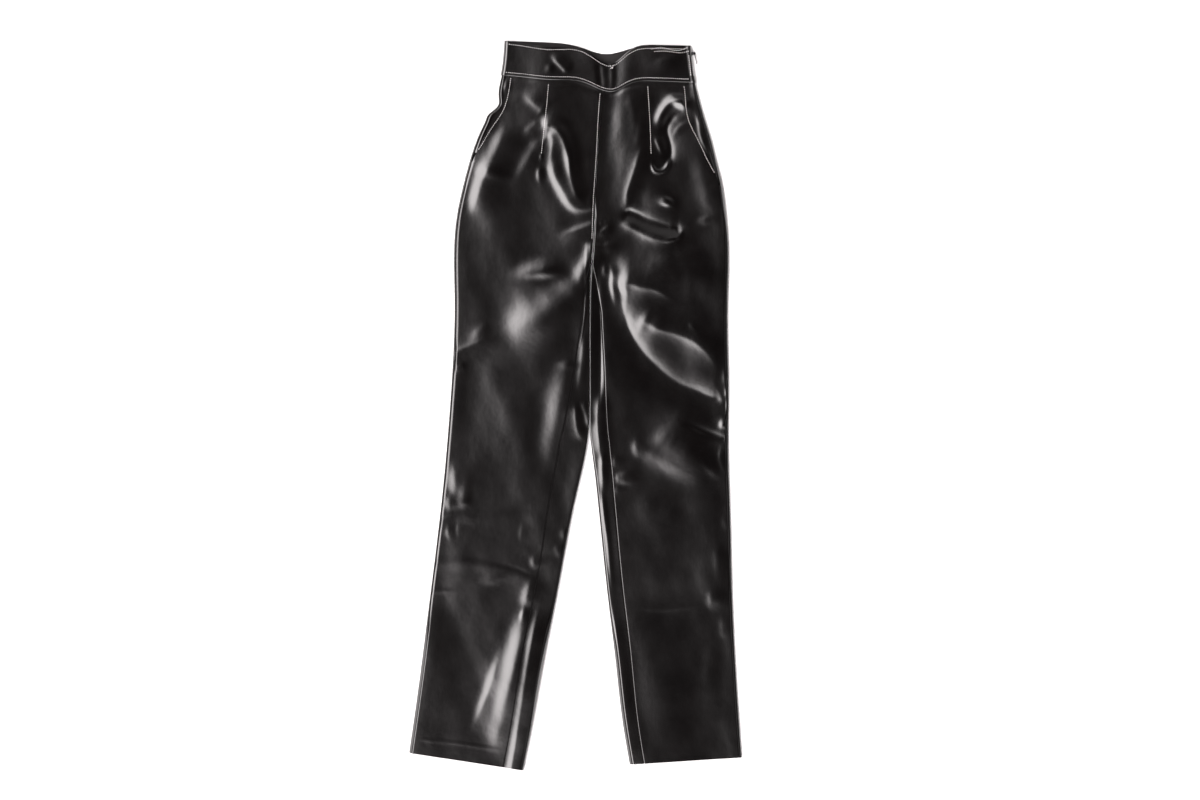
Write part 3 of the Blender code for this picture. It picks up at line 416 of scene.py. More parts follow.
def softStop(height, lowest, edge):  # a trough comes to lie softly on the back below it
    above, level = (height - lowest) / cut["softStop"], 20  # far above it nothing changes
    eased = np.where(above > level, above, np.log1p(np.exp(np.minimum(above, level))))
    return lowest + cut["softStop"] * eased * edge


def inwardOf(fromOuter, fromInner, apart):  # the distance from the nearest fold
    return np.minimum(fromOuter, fromInner * apart + farAway * (1 - apart))


def topHeight(x, down, fromOuter, fromInner):  # the laid front: rolled at the folds, creased between them
    apart = crotch(down)
    roundWidth = straight(edgeRound, down)
    innerEdge = rounded(fromInner / straight(look["innerRound"], down))
    edge = rounded(fromOuter / roundWidth) * (1 - apart * (1 - innerEdge))
    calmBand = roundWidth * cut["calmFrom"], roundWidth + cut["beadFades"]
    calm = smooth(*calmBand, fromOuter)
    calm = calm * (1 - apart * (1 - smooth(*calmBand, fromInner)))
    roll = cut["edgeHeight"] + curve(foldBead, down) * edge
    shifted = down + frontSag(x, down)
    innerFade = smooth(0, look["innerFade"] * straight(look["innerRound"], down), fromInner)
    fade = smooth(0, look["outerFade"], fromOuter) * (1 - apart * (1 - innerFade))
    folded = creaseHeight(x, shifted, frontCreases) * fade
    uneven = straight(look["ripple"], down) * ripple(x, down, look["rippleSeed"], look["rippleLength"])
    uneven = uneven + look["pucker"] * ripple(x, down, look["puckerSeed"], look["puckerLength"])
    folded = folded + uneven * smooth(0, look["unevenFrom"], inwardOf(fromOuter, fromInner, apart))
    height = roll * (1 - calm) + (curve(foldLevel, down) + curve(loft, down)) * calm + folded
    lowest = (2 * cut["cloth"] + cut["liesClear"] + cut["liftShare"] * underLift(down)) * calm
    lowest = lowest + (cut["edgeHeight"] + edge) * (1 - calm)
    return softStop(height, lowest, edge)


def underHeight(x, down, fromOuter, fromInner):  # the back, flat on the floor but for its folds and dents
    apart = crotch(down)
    rise = 1 - rounded(fromOuter / cut["underRound"])
    rise = np.maximum(rise, apart * (1 - rounded(fromInner / cut["underRound"])))
    inward = inwardOf(fromOuter, fromInner, apart)
    dent = creaseHeight(x, down, backCreases) * smooth(*look["dentFades"], inward)
    return cut["edgeHeight"] * rise + (underLift(down) + dent) * (1 - rise)


def onRow(side, row, fromOuter):  # places on a row: x, down, and how far from its two folds
    outer, inner = rowEnds(side, row)
    width = np.hypot(*(inner - outer))
    fromOuter = np.asarray(fromOuter, float)
    flat = outer + (inner - outer) * (fromOuter / width)[:, None]
    return np.stack([flat[:, 0], flat[:, 1], fromOuter, np.maximum(width - fromOuter, 0)], -1)


def liftedGrid(flat, onTop):  # flat places (x, down, from outer, from inner) to points (x, down, height)
    x, down, fromOuter, fromInner = (flat[..., k] for k in range(4))
    height = topHeight if onTop else underHeight
    return np.stack([x, down, height(x, down, fromOuter, fromInner)], -1)


def gridNormals(grid, turn):  # outwards, when turn is right
    normal = np.cross(np.gradient(grid, axis=1), np.gradient(grid, axis=0)) * turn
    return normal / np.maximum(np.linalg.norm(normal, axis=-1, keepdims=True), 1e-9)


def spreadAlong(line, shares):  # points of a dense line again, at these shares of its length
    length = np.concatenate([[0], np.cumsum(np.linalg.norm(np.diff(line, axis=0), axis=1))])
    return np.stack([np.interp(np.asarray(shares) * length[-1], length, line[:, k]) for k in range(3)], -1)


def toWorld(points):
    return np.stack([points[..., 0], cut["laidLength"] / 2 - points[..., 1], points[..., 2]], -1) * mm


print("form ready")


def toLinear(hexColour):  # sRGB hex to linear light
    parts = [int(hexColour[k:k + 2], 16) / 255 for k in (0, 2, 4)]
    return tuple(c / 12.92 if c <= 0.04045 else ((c + 0.055) / 1.055) ** 2.4 for c in parts) + (1.0,)


def addNode(tree, kind, settings, links):  # a node, its settings, and what feeds its sockets, by name or place
    node = tree.nodes.new(kind)
    for name, value in settings.items():
        if isinstance(name, int) or name in node.inputs:
            node.inputs[name].default_value = value
        else:
            setattr(node, name, value)
    for name, source in links.items():
        tree.links.new(source, node.inputs[name])
    return node


def newMaterial(name):
    material = bpy.data.materials.new(name)
    material.use_nodes = True
    tree = material.node_tree
    place = addNode(tree, "ShaderNodeTexCoord", {}, {})
    return material, tree, tree.nodes["Principled BSDF"], place.outputs["Object"]


def perWidth(width):  # a pattern's scale from its width in millimetres
    return 1 / (width * mm)


def cloudyNoise(tree, place, width, detail=2.0, roughness=0.5):
    noise = addNode(tree, "ShaderNodeTexNoise", {"Scale": perWidth(width), "Detail": detail,
                                                 "Roughness": roughness}, {"Vector": place})
    return noise.outputs["Fac"]


def bandWave(tree, place, width, direction, distortion=0.0):
    wave = addNode(tree, "ShaderNodeTexWave", {"bands_direction": direction, "Distortion": distortion,
                                               "Scale": 1 / (width * mm * 2 * math.pi)}, {"Vector": place})
    return wave.outputs["Fac"]


def product(tree, one, other):
    return addNode(tree, "ShaderNodeMath", {"operation": "MULTIPLY"}, {0: one, 1: other}).outputs["Value"]


def bumpNormal(tree, depth, strength, relief, under=None):  # of a raised pattern, and of another one under it
    links = {"Height": relief, "Normal": under} if under else {"Height": relief}
    return addNode(tree, "ShaderNodeBump", {"Distance": depth * mm, "Strength": strength}, links).outputs["Normal"]


def mixColours(tree, shader, share, colours):
    ends = {6: toLinear(colours[0]), 7: toLinear(colours[1])}
    colour = addNode(tree, "ShaderNodeMix", {"data_type": "RGBA", **ends}, {0: share})
    tree.links.new(colour.outputs[2], shader.inputs["Base Color"])


def finishSurface(tree, shader, info, share, relief):  # the colours, raised pattern and roughness of a plain finish
    mixColours(tree, shader, share, info["colours"])
    tree.links.new(bumpNormal(tree, info["depth"], info["strength"], relief), shader.inputs["Normal"])
    shader.inputs["Roughness"].default_value = info["roughness"]


# polyurethane film on a knit, calendered smooth: deep black with a soft wet gloss, a skin-like grain that only
# shows in the highlights, and slow cloudiness where the film is thinner
coatedCloth = {
    "colours": ("040303", "070505"), "roughness": 0.175, "roughnessSpread": 0.05, "ior": 1.5,
    "coat": 0.9, "coatRoughness": 0.08, "grainWidth": 1.1, "grainDepth": 0.02, "grainStrength": 0.5,
    "creaseWidth": 9.0, "creaseDepth": 0.15, "creaseStrength": 0.6, "creaseRoughness": 0.45,
    "cloudWidth": 42.0, "cloudRoughness": 0.55, "cloudRange": (0.3, 0.7),
}


def makeCoatedCloth():
    info = coatedCloth
    material, tree, shader, place = newMaterial("polyurethaneCoatedCloth")
    cloud = cloudyNoise(tree, place, info["cloudWidth"], detail=4.0, roughness=info["cloudRoughness"])
    grain = addNode(tree, "ShaderNodeTexVoronoi", {"feature": "DISTANCE_TO_EDGE",
                                                   "Scale": perWidth(info["grainWidth"])}, {"Vector": place})
    fine = cloudyNoise(tree, place, info["creaseWidth"], detail=4.0, roughness=info["creaseRoughness"])
    mixColours(tree, shader, cloud, info["colours"])
    low, high = info["cloudRange"]
    gloss = addNode(tree, "ShaderNodeMapRange", {
        "From Min": low, "From Max": high, "To Min": info["roughness"] - info["roughnessSpread"] / 2,
        "To Max": info["roughness"] + info["roughnessSpread"] / 2}, {"Value": cloud})
    tree.links.new(gloss.outputs["Result"], shader.inputs["Roughness"])
    wide = bumpNormal(tree, info["creaseDepth"], info["creaseStrength"], fine)
    close = bumpNormal(tree, info["grainDepth"], info["grainStrength"], grain.outputs["Distance"], wide)
    tree.links.new(close, shader.inputs["Normal"])
    tree.links.new(wide, shader.inputs["Coat Normal"])
    for socket, name in (("IOR", "ior"), ("Coat Weight", "coat"), ("Coat Roughness", "coatRoughness")):
        shader.inputs[socket].default_value = info[name]
    return material


# the inside of the cloth: a brushed knit backing, matt, black going to brown
knitBacking = {"colours": ("0c0a0a", "1b1517"), "roughness": 0.92, "loopWidth": 0.8, "unevenLoops": 1.2,
               "fluffWidth": 1.6, "depth": 0.15, "strength": 0.8, "sheen": 0.15, "sheenRoughness": 0.5}


def makeKnitBacking():
    info = knitBacking
    material, tree, shader, place = newMaterial("brushedKnitBacking")
    loops = bandWave(tree, place, info["loopWidth"], "X", info["unevenLoops"])
    both = product(tree, loops, cloudyNoise(tree, place, info["fluffWidth"], detail=3.0))
    finishSurface(tree, shader, info, both, both)
    shader.inputs["Sheen Weight"].default_value = info["sheen"]
    shader.inputs["Sheen Roughness"].default_value = info["sheenRoughness"]
    return material


# twisted polyester sewing thread: pale, slightly shiny, with the ply turning round it
sewingThread = {"colours": ("dedbdb", "aca7a7"), "roughness": 0.5, "plyPitch": 0.7, "unevenPly": 0.6,
                "unevenWidth": 9.0, "depth": 0.05, "strength": 0.6}


def makeSewingThread():
    info = sewingThread
    material, tree, shader, place = newMaterial("twistedPolyesterThread")
    ply = bandWave(tree, place, info["plyPitch"], "DIAGONAL", info["unevenPly"])
    both = product(tree, ply, cloudyNoise(tree, place, info["unevenWidth"]))
    finishSurface(tree, shader, info, both, ply)
    return material


# woven polyester zip tape: matt black, a fine rib across it
zipTapeCloth = {"colours": ("111112", "1d1d1f"), "roughness": 0.85, "ribPitch": 0.6, "depth": 0.08,
                "strength": 0.7}


def makeZipTapeCloth():
    info = zipTapeCloth
    material, tree, shader, place = newMaterial("wovenZipTape")
    rib = bandWave(tree, place, info["ribPitch"], "Y")
    finishSurface(tree, shader, info, rib, rib)
    return material


# die-cast zinc under black lacquer, rubbed a little lighter in small patches
lacqueredZinc = {"colours": ("1a1a1c", "4a494b"), "roughness": 0.32, "metallic": 0.7, "patchWidth": 2.5,
                 "patchRange": (0.55, 0.75), "depth": 0.03, "strength": 0.5}


def makeLacqueredZinc():
    info = lacqueredZinc
    material, tree, shader, place = newMaterial("lacqueredZinc")
    patch = cloudyNoise(tree, place, info["patchWidth"], detail=4.0)
    low, high = info["patchRange"]
    share = addNode(tree, "ShaderNodeMapRange", {"From Min": low, "From Max": high}, {"Value": patch})
    finishSurface(tree, shader, info, share.outputs["Result"], patch)
    shader.inputs["Metallic"].default_value = info["metallic"]
    return material


# drawn nylon wire of the zip's teeth: black, half clear at its skin, with faint die lines
nylonWire = {"colours": ("101011", "1c1c1e"), "roughness": 0.38, "markWidth": 1.5, "depth": 0.02, "strength": 0.4}


def makeNylonWire():
    info = nylonWire
    material, tree, shader, place = newMaterial("drawnNylonWire")
    marks = cloudyNoise(tree, place, info["markWidth"], detail=3.0)
    finishSurface(tree, shader, info, marks, marks)
    return material


coated, backing, thread = makeCoatedCloth(), makeKnitBacking(), makeSewingThread()
tapeCloth, zinc, coilPlastic = makeZipTapeCloth(), makeLacqueredZinc(), makeNylonWire()
print("materials made")


def meshPiece(name, points, faces, materials, body="trousers"):
    mesh = bpy.data.meshes.new(name)
    mesh.from_pydata(points.tolist(), [], faces if isinstance(faces, list) else faces.tolist())
    for material in materials:
        mesh.materials.append(material)
    mesh.update()
    mesh.shade_smooth()
    piece = bpy.data.objects.new(name, mesh)
    bpy.context.scene.collection.objects.link(piece)
    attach(piece, body)
    return piece


surfaces = {}  # the coated face of each piece, for what is sewn on it


def clothPiece(name, grid, turn, shift, raised=0.0, thick=cut["cloth"], materials=None,
               lowest=0.0):
    # a closed wall: the coated face on the grid moved out by raised, the knit face one thickness in from it.
    # turn is 1 or -1, whichever makes the coated face look outwards
    normals = gridNormals(grid, turn)
    moved = np.zeros_like(grid)
    moved[..., 1] = shift
    raised = np.broadcast_to(raised, grid.shape[:2])[..., None]
    face = toWorld(grid + normals * raised + moved)
    face[..., 2] = np.maximum(face[..., 2], lowest * mm)
    inside = toWorld(grid + normals * (raised - thick) + moved)
    rows, columns = grid.shape[:2]
    count = rows * columns
    index = np.arange(count).reshape(rows, columns)
    a, b, c, d = index[:-1, :-1], index[:-1, 1:], index[1:, 1:], index[1:, :-1]
    outerFaces = np.stack([a, b, c, d], -1).reshape(-1, 4)
    innerFaces = outerFaces[:, ::-1] + count
    ring = np.concatenate([index[0, :-1], index[:-1, -1], index[-1, :0:-1], index[:0:-1, 0]])
    after = np.roll(ring, -1)
    rim = np.stack([after, ring, ring + count, after + count], -1)
    faces = np.concatenate([outerFaces, innerFaces, rim])
    if turn > 0:
        faces = faces[:, ::-1]
    points = np.concatenate([face.reshape(-1, 3), inside.reshape(-1, 3)])
    piece = meshPiece(name, points, faces, materials or [coated, backing])
    kinds = np.zeros(len(faces), int)
    kinds[len(outerFaces):len(outerFaces) + len(innerFaces)] = 1
    piece.data.polygons.foreach_set("material_index", kinds)
    rimEdges = {tuple(sorted(pair)) for pair in zip(ring.tolist(), after.tolist())}
    rimEdges |= {(i + count, j + count) for i, j in rimEdges}
    for edge in piece.data.edges:  # keeps the cut edge crisp
        if tuple(sorted(edge.vertices)) in rimEdges:
            edge.use_edge_sharp = True
    surfaces[name] = BVHTree.FromPolygons([Vector(p) for p in points.tolist()], outerFaces.tolist())
    return piece


def panelPiece(name, node, side, grid, raised, onTop):  # a panel of one side, with the sag of its waist
    sag = frontSag if onTop else backSag
    turn = -signOf[side] if onTop else signOf[side]
    piece = clothPiece(name + side.capitalize(), grid, turn, sag(grid[..., 0], grid[..., 1]), raised)
    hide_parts(node + "_" + side)
    return piece


def spacing(length, step, startSteps, endSteps):  # distances along a width: closer together at its ends
    start = np.concatenate([[0], np.cumsum(startSteps)])
    end = length - np.concatenate([[0], np.cumsum(endSteps)])[::-1]
    count = max(2, int(round((end[0] - start[-1]) / step)) + 1)
    return np.concatenate([start, np.linspace(start[-1], end[0], count)[1:-1], end])


def panelRows(side, step):
    startOuter = cut["bandOuter"][side] - cut["bandLap"]
    startInner = cut["bandInner"] - cut["bandLap"]
    share = np.linspace(0, 1, int((cut["hemInner"][side] - startInner) / step))
    outer = startOuter + (cut["hemOuter"][side] - startOuter) * share
    inner = startInner + (cut["hemInner"][side] - startInner) * share
    return list(zip(outer, inner))


def outseam(row):
    return float(straight(outseamInset, row[0]))


def mouthInset(side, row):  # how far in from the outer fold the front panel starts
    rows = pocketMouth[side]
    if row[0] > rows[-1][0]:
        return outseam(row)
    return max(outseam(row), abs(float(curve(rows, row[0])) - rowEnds(side, row)[0][0]))


lapInfo = {"depth": 0.25, "from": 5.0, "to": 1.0}  # how deep, and how far above the band's edge


def lapSink(rows, side):  # the panels' top edges go down under the band
    start, lap = cut["bandOuter"][side] - cut["bandLap"], cut["bandLap"]
    share = [smooth(lap - lapInfo["from"], lap - lapInfo["to"], row[0] - start) for row in rows]
    return np.array([[-lapInfo["depth"] * (1 - part)] for part in share])


def seamSink(grid, rows, side, info):  # the inner leg seam, which sinks in below the crotch
    depths = np.array([[info["rollDepth"][side] * float(crotch(row[1]))] for row in rows])
    return turnedEdges(grid, [(1, "end")], depths, info["rollWidth"][side])


def turnedEdges(grid, edges, depth, width):  # the face dips at an edge where the cloth turns in to its seam
    dip = np.zeros(grid.shape[:2])
    for axis, end in edges:
        length = np.linalg.norm(np.diff(grid, axis=axis), axis=2)
        first = np.zeros_like(length.take([0], axis))
        fromStart = np.concatenate([first, np.cumsum(length, axis=axis)], axis=axis)
        reach = fromStart if end == "start" else fromStart.take([-1], axis) - fromStart
        dip = dip - depth * (1 - rounded(reach / width))
    return dip


frontInfo = {"step": 2.5, "columnStep": 2.1,
             "edgeSteps": [0.25, 0.35, 0.5, 0.8, 1.2], "everyRow": 20,
             "rollDepth": {"right": 0.6, "left": 0.16}, "rollWidth": {"right": 1.6, "left": 1.2}}


def makeFront(side):
    info = frontInfo
    rows = panelRows(side, info["step"])
    widest = max(rowWidth(side, row) for row in rows[::info["everyRow"]])
    shares = spacing(widest, info["columnStep"], info["edgeSteps"], info["edgeSteps"]) / widest
    flat = []
    for row in rows:
        start = mouthInset(side, row) + cut["seamGap"] / 2
        inset = float(straight(inseamInset[side], row[1])) + cut["seamGap"] / 2
        setback = cut["crotchSetback"] * float(smooth(*cut["setbackFades"], crotch(row[1])))
        end = rowWidth(side, row) - max(inset, setback)
        flat.append(onRow(side, row, start + (end - start) * shares))
    grid = liftedGrid(np.array(flat), True)
    raised = lapSink(rows, side) + seamSink(grid, rows, side, info)
    return panelPiece("frontPanel", "front_panel", side, grid, raised, True)


backInfo = {"step": 2.8, "outerColumns": 16, "underColumns": 30, "innerColumns": 64,
            "samples": 60, "turnTo": 5.5,
            "rollDepth": {"right": 0.0, "left": 0.6}, "rollWidth": {"right": 1.2, "left": 1.6}}


def makeBack(side):
    info = backInfo
    rows = panelRows(side, info["step"])
    quarter = 1 - np.cos(np.linspace(0, math.pi / 2, info["samples"]))
    outerStrip, outerTurn, middle, innerTurn, innerStrip = [], [], [], [], []
    for row in rows:
        width = rowWidth(side, row)
        seam = outseam(row) - cut["seamGap"] / 2
        inset = max(float(straight(inseamInset[side], row[1])) - cut["seamGap"] / 2, 0)
        outerStrip.append(onRow(side, row, seam * quarter[::-1]))
        outerTurn.append(onRow(side, row, info["turnTo"] * quarter))
        middle.append(onRow(side, row, np.linspace(info["turnTo"], width - info["turnTo"], info["samples"])))
        innerTurn.append(onRow(side, row, width - info["turnTo"] * quarter[::-1]))
        innerStrip.append(onRow(side, row, width - inset * quarter))
    above = [liftedGrid(np.array(flat), True) for flat in (outerStrip, innerStrip)]
    below = [liftedGrid(np.array(flat), False) for flat in (outerTurn, middle, innerTurn)]
    grid = []
    for k, row in enumerate(rows):
        outer = np.concatenate([above[0][k][:-1], below[0][k]])
        inner = below[2][k]
        if straight(inseamInset[side], row[1]) > cut["seamGap"] / 2:
            inner = np.concatenate([inner, above[1][k][1:]])
        grid.append(np.concatenate([
            spreadAlong(outer, np.linspace(0, 1, info["outerColumns"])),
            spreadAlong(below[1][k], np.linspace(0, 1, info["underColumns"]))[1:-1],
            spreadAlong(inner, np.linspace(0, 1, info["innerColumns"])),
        ]))
    grid = np.array(grid)
    raised = lapSink(rows, side) + seamSink(grid, rows, side, info)
    return panelPiece("backPanel", "back_panel", side, grid, raised, False)


bandInfo = {"step": 2.2, "zipSlit": 2.6,
            "foldSteps": [0.1, 0.2, 0.35, 0.5, 0.7, 0.9, 1.2, 1.6], "edgeSteps": [0.4, 0.6, 0.9, 1.3],
            "width": 52.0, "rollDepth": 0.25, "seamDepth": 0.12, "rollWidth": 1.4,
            "gapFades": 6.0, "lowest": 0.15}


def makeBand(half):
    info = bandInfo
    onTop = half == "front"
    parts = spacing(info["width"], info["step"], info["edgeSteps"], info["edgeSteps"]) / info["width"]
    halves = {}
    for side in signOf:
        flat = []
        widest = rowWidth(side, (cut["bandOuter"][side], cut["bandInner"]))
        shares = spacing(widest, info["step"], info["foldSteps"], []) / widest
        for part in parts:
            row = (cut["waistOuter"][side] + (cut["bandOuter"][side] - cut["waistOuter"][side]) * part,
                   cut["waistInner"] + (cut["bandInner"] - cut["waistInner"]) * part)
            flat.append(onRow(side, row, rowWidth(side, row) * shares))
        flat = np.array(flat)
        grid = liftedGrid(flat, onTop)
        gap = (cut["seamGap"] if side == "right" else info["zipSlit"]) / 2
        grid[..., 2] += (1 if onTop else -1) * gap * (1 - smooth(0, info["gapFades"], flat[..., 2]))
        halves[side] = grid
    middle = (halves["right"][:, -1:] + halves["left"][:, -1:]) / 2
    grid = np.concatenate([halves["right"][:, :-1], middle, halves["left"][:, ::-1][:, 1:]], axis=1)
    raised = cut["cloth"] + cut["seamGap"]
    raised = raised + turnedEdges(grid, [(0, "start")], info["rollDepth"], info["rollWidth"])
    raised = raised + turnedEdges(grid, [(0, "end")], info["seamDepth"], info["rollWidth"])
    sag = frontSag if onTop else backSag
    band = clothPiece("waistband" + half.capitalize(), grid, 1 if onTop else -1,
                      sag(grid[..., 0], grid[..., 1]), raised, lowest=info["lowest"])
    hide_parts("waistband_" + half)
    return band, grid


facingInfo = {"step": 2.2, "edgeSteps": [0.5, 0.8, 1.1], "reach": 12.0, "endsShort": 14.0,
              "widest": 45.0, "sinks": 1.9, "seamSinks": 0.7, "sunkBy": 0.7, "leastShown": 1.0,
              "rollDepth": 0.2, "rollWidth": 1.0}


def makeFacing(side):
    info = facingInfo
    start = cut["bandOuter"][side] - cut["bandLap"]
    end = pocketMouth[side][-1][0] - info["endsShort"]
    slope = (cut["hemInner"][side] - cut["bandInner"]) / (cut["hemOuter"][side] - cut["bandOuter"][side])
    downs = np.linspace(start, end, int((end - start) / info["step"]))
    rows = [(down, cut["bandInner"] - cut["bandLap"] + (down - start) * slope) for down in downs]
    shares = spacing(info["widest"], info["step"], info["edgeSteps"], []) / info["widest"]
    flat, sinks = [], []
    for row in rows:
        seam = outseam(row) + cut["seamGap"] / 2
        shown = max(mouthInset(side, row) - seam, info["leastShown"])
        reach = (shown + info["reach"]) * shares
        flat.append(onRow(side, row, seam + reach))
        under = smooth(0, info["sunkBy"] * shown, reach)
        sinks.append(-info["sinks"] * (info["seamSinks"] + (1 - info["seamSinks"]) * under))
    grid = liftedGrid(np.array(flat), True)
    edges = turnedEdges(grid, [(1, "start")], info["rollDepth"], info["rollWidth"])
    raised = np.array(sinks) + lapSink(rows, side) + edges
    return panelPiece("pocketFacing", "pocket_facing", side, grid, raised, True)


fronts = {side: makeFront(side) for side in signOf}
print("front panels made")
backs = {side: makeBack(side) for side in signOf}
print("back panels made")
bandFront, bandFrontGrid = makeBand("front")
bandBack, bandBackGrid = makeBand("back")
facings = {side: makeFacing(side) for side in signOf}
print("waistband and pocket facings made")


# Topstitching, in lines of (x, down) as seen from the side that they are sewn from. Each line is walked on the
# cloth's own face, one stitch at a time.
stitchInfo = {"pitch": 3.1, "length": 2.1, "width": 0.8, "height": 0.4, "dips": 0.35, "rides": 0.08,
              "first": 0.2, "wander": 0.1, "seed": 11, "highestStep": 2.0, "linePoints": 120, "lookFrom": 50.0,
              "rings": [(0.0, 0.35), (0.22, 1.0), (0.78, 1.0), (1.0, 0.35)], "sides": 6}
frontLines = {
    "right": {
        "centre": [(36, 77.8), (33, 118.9), (30.7, 165.9), (27.2, 218.7), (25, 262.7), (24.2, 292.1)],
        "dart": [(-39.6, 64.6), (-41.8, 92.5), (-44.8, 118.9), (-47.7, 145.3), (-49.9, 165.9)],
        "mouth": [(-94.7, 55), (-96.1, 66.1), (-98.2, 77.8), (-102.9, 95.4), (-107.3, 105.7), (-121.1, 126.2),
                  (-134.9, 149.1), (-146, 167.3), (-153.4, 180.5), (-156.3, 184.9)],
        "crotchLeft": [(26.6, 377.2), (28, 384.6)],
        "crotchRight": [(29.5, 378.1), (30.1, 386)],
    },
    "left": {
        "dart": [(105.8, 67.5), (107.9, 98.3), (109.4, 126.2), (110.2, 148.2), (110.8, 165.9)],
        "mouth": [(159.3, 67.5), (160.7, 80.7), (161.6, 95.4), (163.7, 108.6), (166.6, 119.6), (176.9, 140.9),
                  (193, 174.7), (201.8, 190.8), (210.6, 207), (216.5, 226), (219.4, 230.4)],
    },
}
bandLines = {"fromTop": 5.2, "fromBottom": 4.5, "fromEnd": 4.0, "everyPoint": 3}
bandExtraLines = {
    "sideOuter": [(170.3, 25), (171.9, 39.6), (173.9, 54.3)],
    "sideInner": [(165.9, 22), (167.5, 36.7), (169.2, 52.8)],
    "mendUpper": [(110.8, 13.5), (127, 11), (146, 15.4), (165.1, 10.6)],
    "mendLower": [(115.2, 16.9), (135.8, 16.4), (156.3, 18.5), (168.1, 15.4)],
    "knotOne": [(50.6, 36.7), (54.5, 42.6)],
    "knotTwo": [(55.8, 36), (53, 44)],
    "knotThree": [(50.1, 41.7), (57.2, 40.5)],
}
backLines = {"right": {"centre": [(36.5, 72), (32.5, 120), (28.5, 170), (25.5, 220), (23.5, 262), (22, 292)]}}


def placeOn(name, x, down, fromBelow):  # the point of a piece's face under a place, and its normal
    above = stitchInfo["lookFrom"] * mm * (-1 if fromBelow else 1)
    start = Vector((x * mm, (cut["laidLength"] / 2 - down) * mm, above))
    hit, normal, _, _ = surfaces[name].ray_cast(start, Vector((0, 0, -above)).normalized())
    if hit is None:
        return None, None
    normal = np.array(normal)
    return np.array(hit), -normal if (normal[2] > 0) == fromBelow else normal


def stitchesOn(name, piece, lines, fromBelow=False):
    info = stitchInfo
    rng = np.random.default_rng(info["seed"])
    sides = info["sides"]
    turns = np.arange(sides) * 2 * math.pi / sides
    points, faces = [], []
    for line in lines:
        path = smoothPath(line, info["linePoints"])
        length = lengthAlong(path)
        for start in np.arange(info["first"], length[-1] - info["length"], info["pitch"]):
            at = np.array([start, start + info["length"]]) + rng.normal(0, info["wander"], 2)
            x, down = (np.interp(at, length, path[:, k]) + rng.normal(0, info["wander"]) for k in (0, 1))
            (first, normalFirst), (last, normalLast) = (placeOn(piece.name, x[k], down[k], fromBelow)
                                                        for k in (0, 1))
            if first is None or last is None or abs(first[2] - last[2]) > info["highestStep"] * mm:
                continue
            along = (last - first) / np.linalg.norm(last - first)
            up = normalFirst + normalLast
            up = up - along * (up @ along)
            up = up / np.linalg.norm(up)
            across = np.cross(along, up)
            base = len(points)
            for share, size in info["rings"]:
                rise = info["rides"] if size == 1 else -info["dips"]
                centre = first + (last - first) * share + up * rise * mm
                points += [centre + (across * math.cos(t) * info["width"] + up * math.sin(t) * info["height"])
                           * size * mm / 2 for t in turns]
            for ring in range(len(info["rings"]) - 1):
                a = base + ring * sides
                faces += [(a + k, a + sides + k, a + sides + (k + 1) % sides, a + (k + 1) % sides)
                          for k in range(sides)]
            end = base + (len(info["rings"]) - 1) * sides
            faces += [(base, base + 1, base + 2, base + 3), (base, base + 3, base + 4, base + 5),
                      (end + 3, end + 2, end + 1, end), (end + 5, end + 4, end + 3, end)]
    points = np.array(points)
    points[:, 2] = np.maximum(points[:, 2], 0)
    return meshPiece(name, points, np.array(faces), [thread])


def bandStitchLines(grid, sag):  # the two long lines of a half band, from its own rows
    info = bandLines
    rows = spacing(bandInfo["width"], bandInfo["step"], bandInfo["edgeSteps"], bandInfo["edgeSteps"])
    lines = []
    for at in (info["fromTop"], bandInfo["width"] - info["fromBottom"]):
        row = np.stack([[np.interp(at, rows, grid[:, j, k]) for k in range(2)] for j in range(grid.shape[1])])
        row[:, 1] += sag(row[:, 0], row[:, 1])
        fromEnds = np.minimum(row[:, 0] - row[:, 0].min(), row[:, 0].max() - row[:, 0])
        inside = fromEnds > info["fromEnd"]
        lines.append(row[inside][::info["everyPoint"]])
    return lines


stitches = {
    "bandFront": stitchesOn("stitchesBandFront", bandFront,
                            bandStitchLines(bandFrontGrid, frontSag) + list(bandExtraLines.values())),
    "bandBack": stitchesOn("stitchesBandBack", bandBack, bandStitchLines(bandBackGrid, backSag), True),
    "frontRight": stitchesOn("stitchesFrontRight", fronts["right"], frontLines["right"].values()),
    "frontLeft": stitchesOn("stitchesFrontLeft", fronts["left"], frontLines["left"].values()),
    "backRight": stitchesOn("stitchesBackRight", backs["right"], backLines["right"].values(), True),
}
print("stitches made")

# Zip in the wearer's left side seam: tape with its two rows of spiral teeth, closed, then the slider and its pull
zipInfo = {
    "down": (12.0, 190.0), "rows": 60, "tapeColumns": 7, "tapeFrom": 4.5, "tapeWidth": 9.0, "tapeZ": 4.3,
    "tapeThick": 0.6, "coilFrom": 3.9, "coilZ": 4.0, "coilRadius": 0.62, "wire": 0.24, "pitch": 1.3,
    "turnSteps": 8, "wireSides": 5,
}


def foldAt(down):
    return float(curve(outerFold["left"], down))


def makeZipTape():
    info = zipInfo
    shares = np.linspace(1, 0, info["tapeColumns"])
    grid = np.array([[(foldAt(down) - info["tapeFrom"] - share * info["tapeWidth"], down, info["tapeZ"])
                      for share in shares] for down in np.linspace(*info["down"], info["rows"])])
    tape = clothPiece("zipTape", grid, 1, 0.0, 0.0, info["tapeThick"], [tapeCloth, tapeCloth])
    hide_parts("zip_tape")


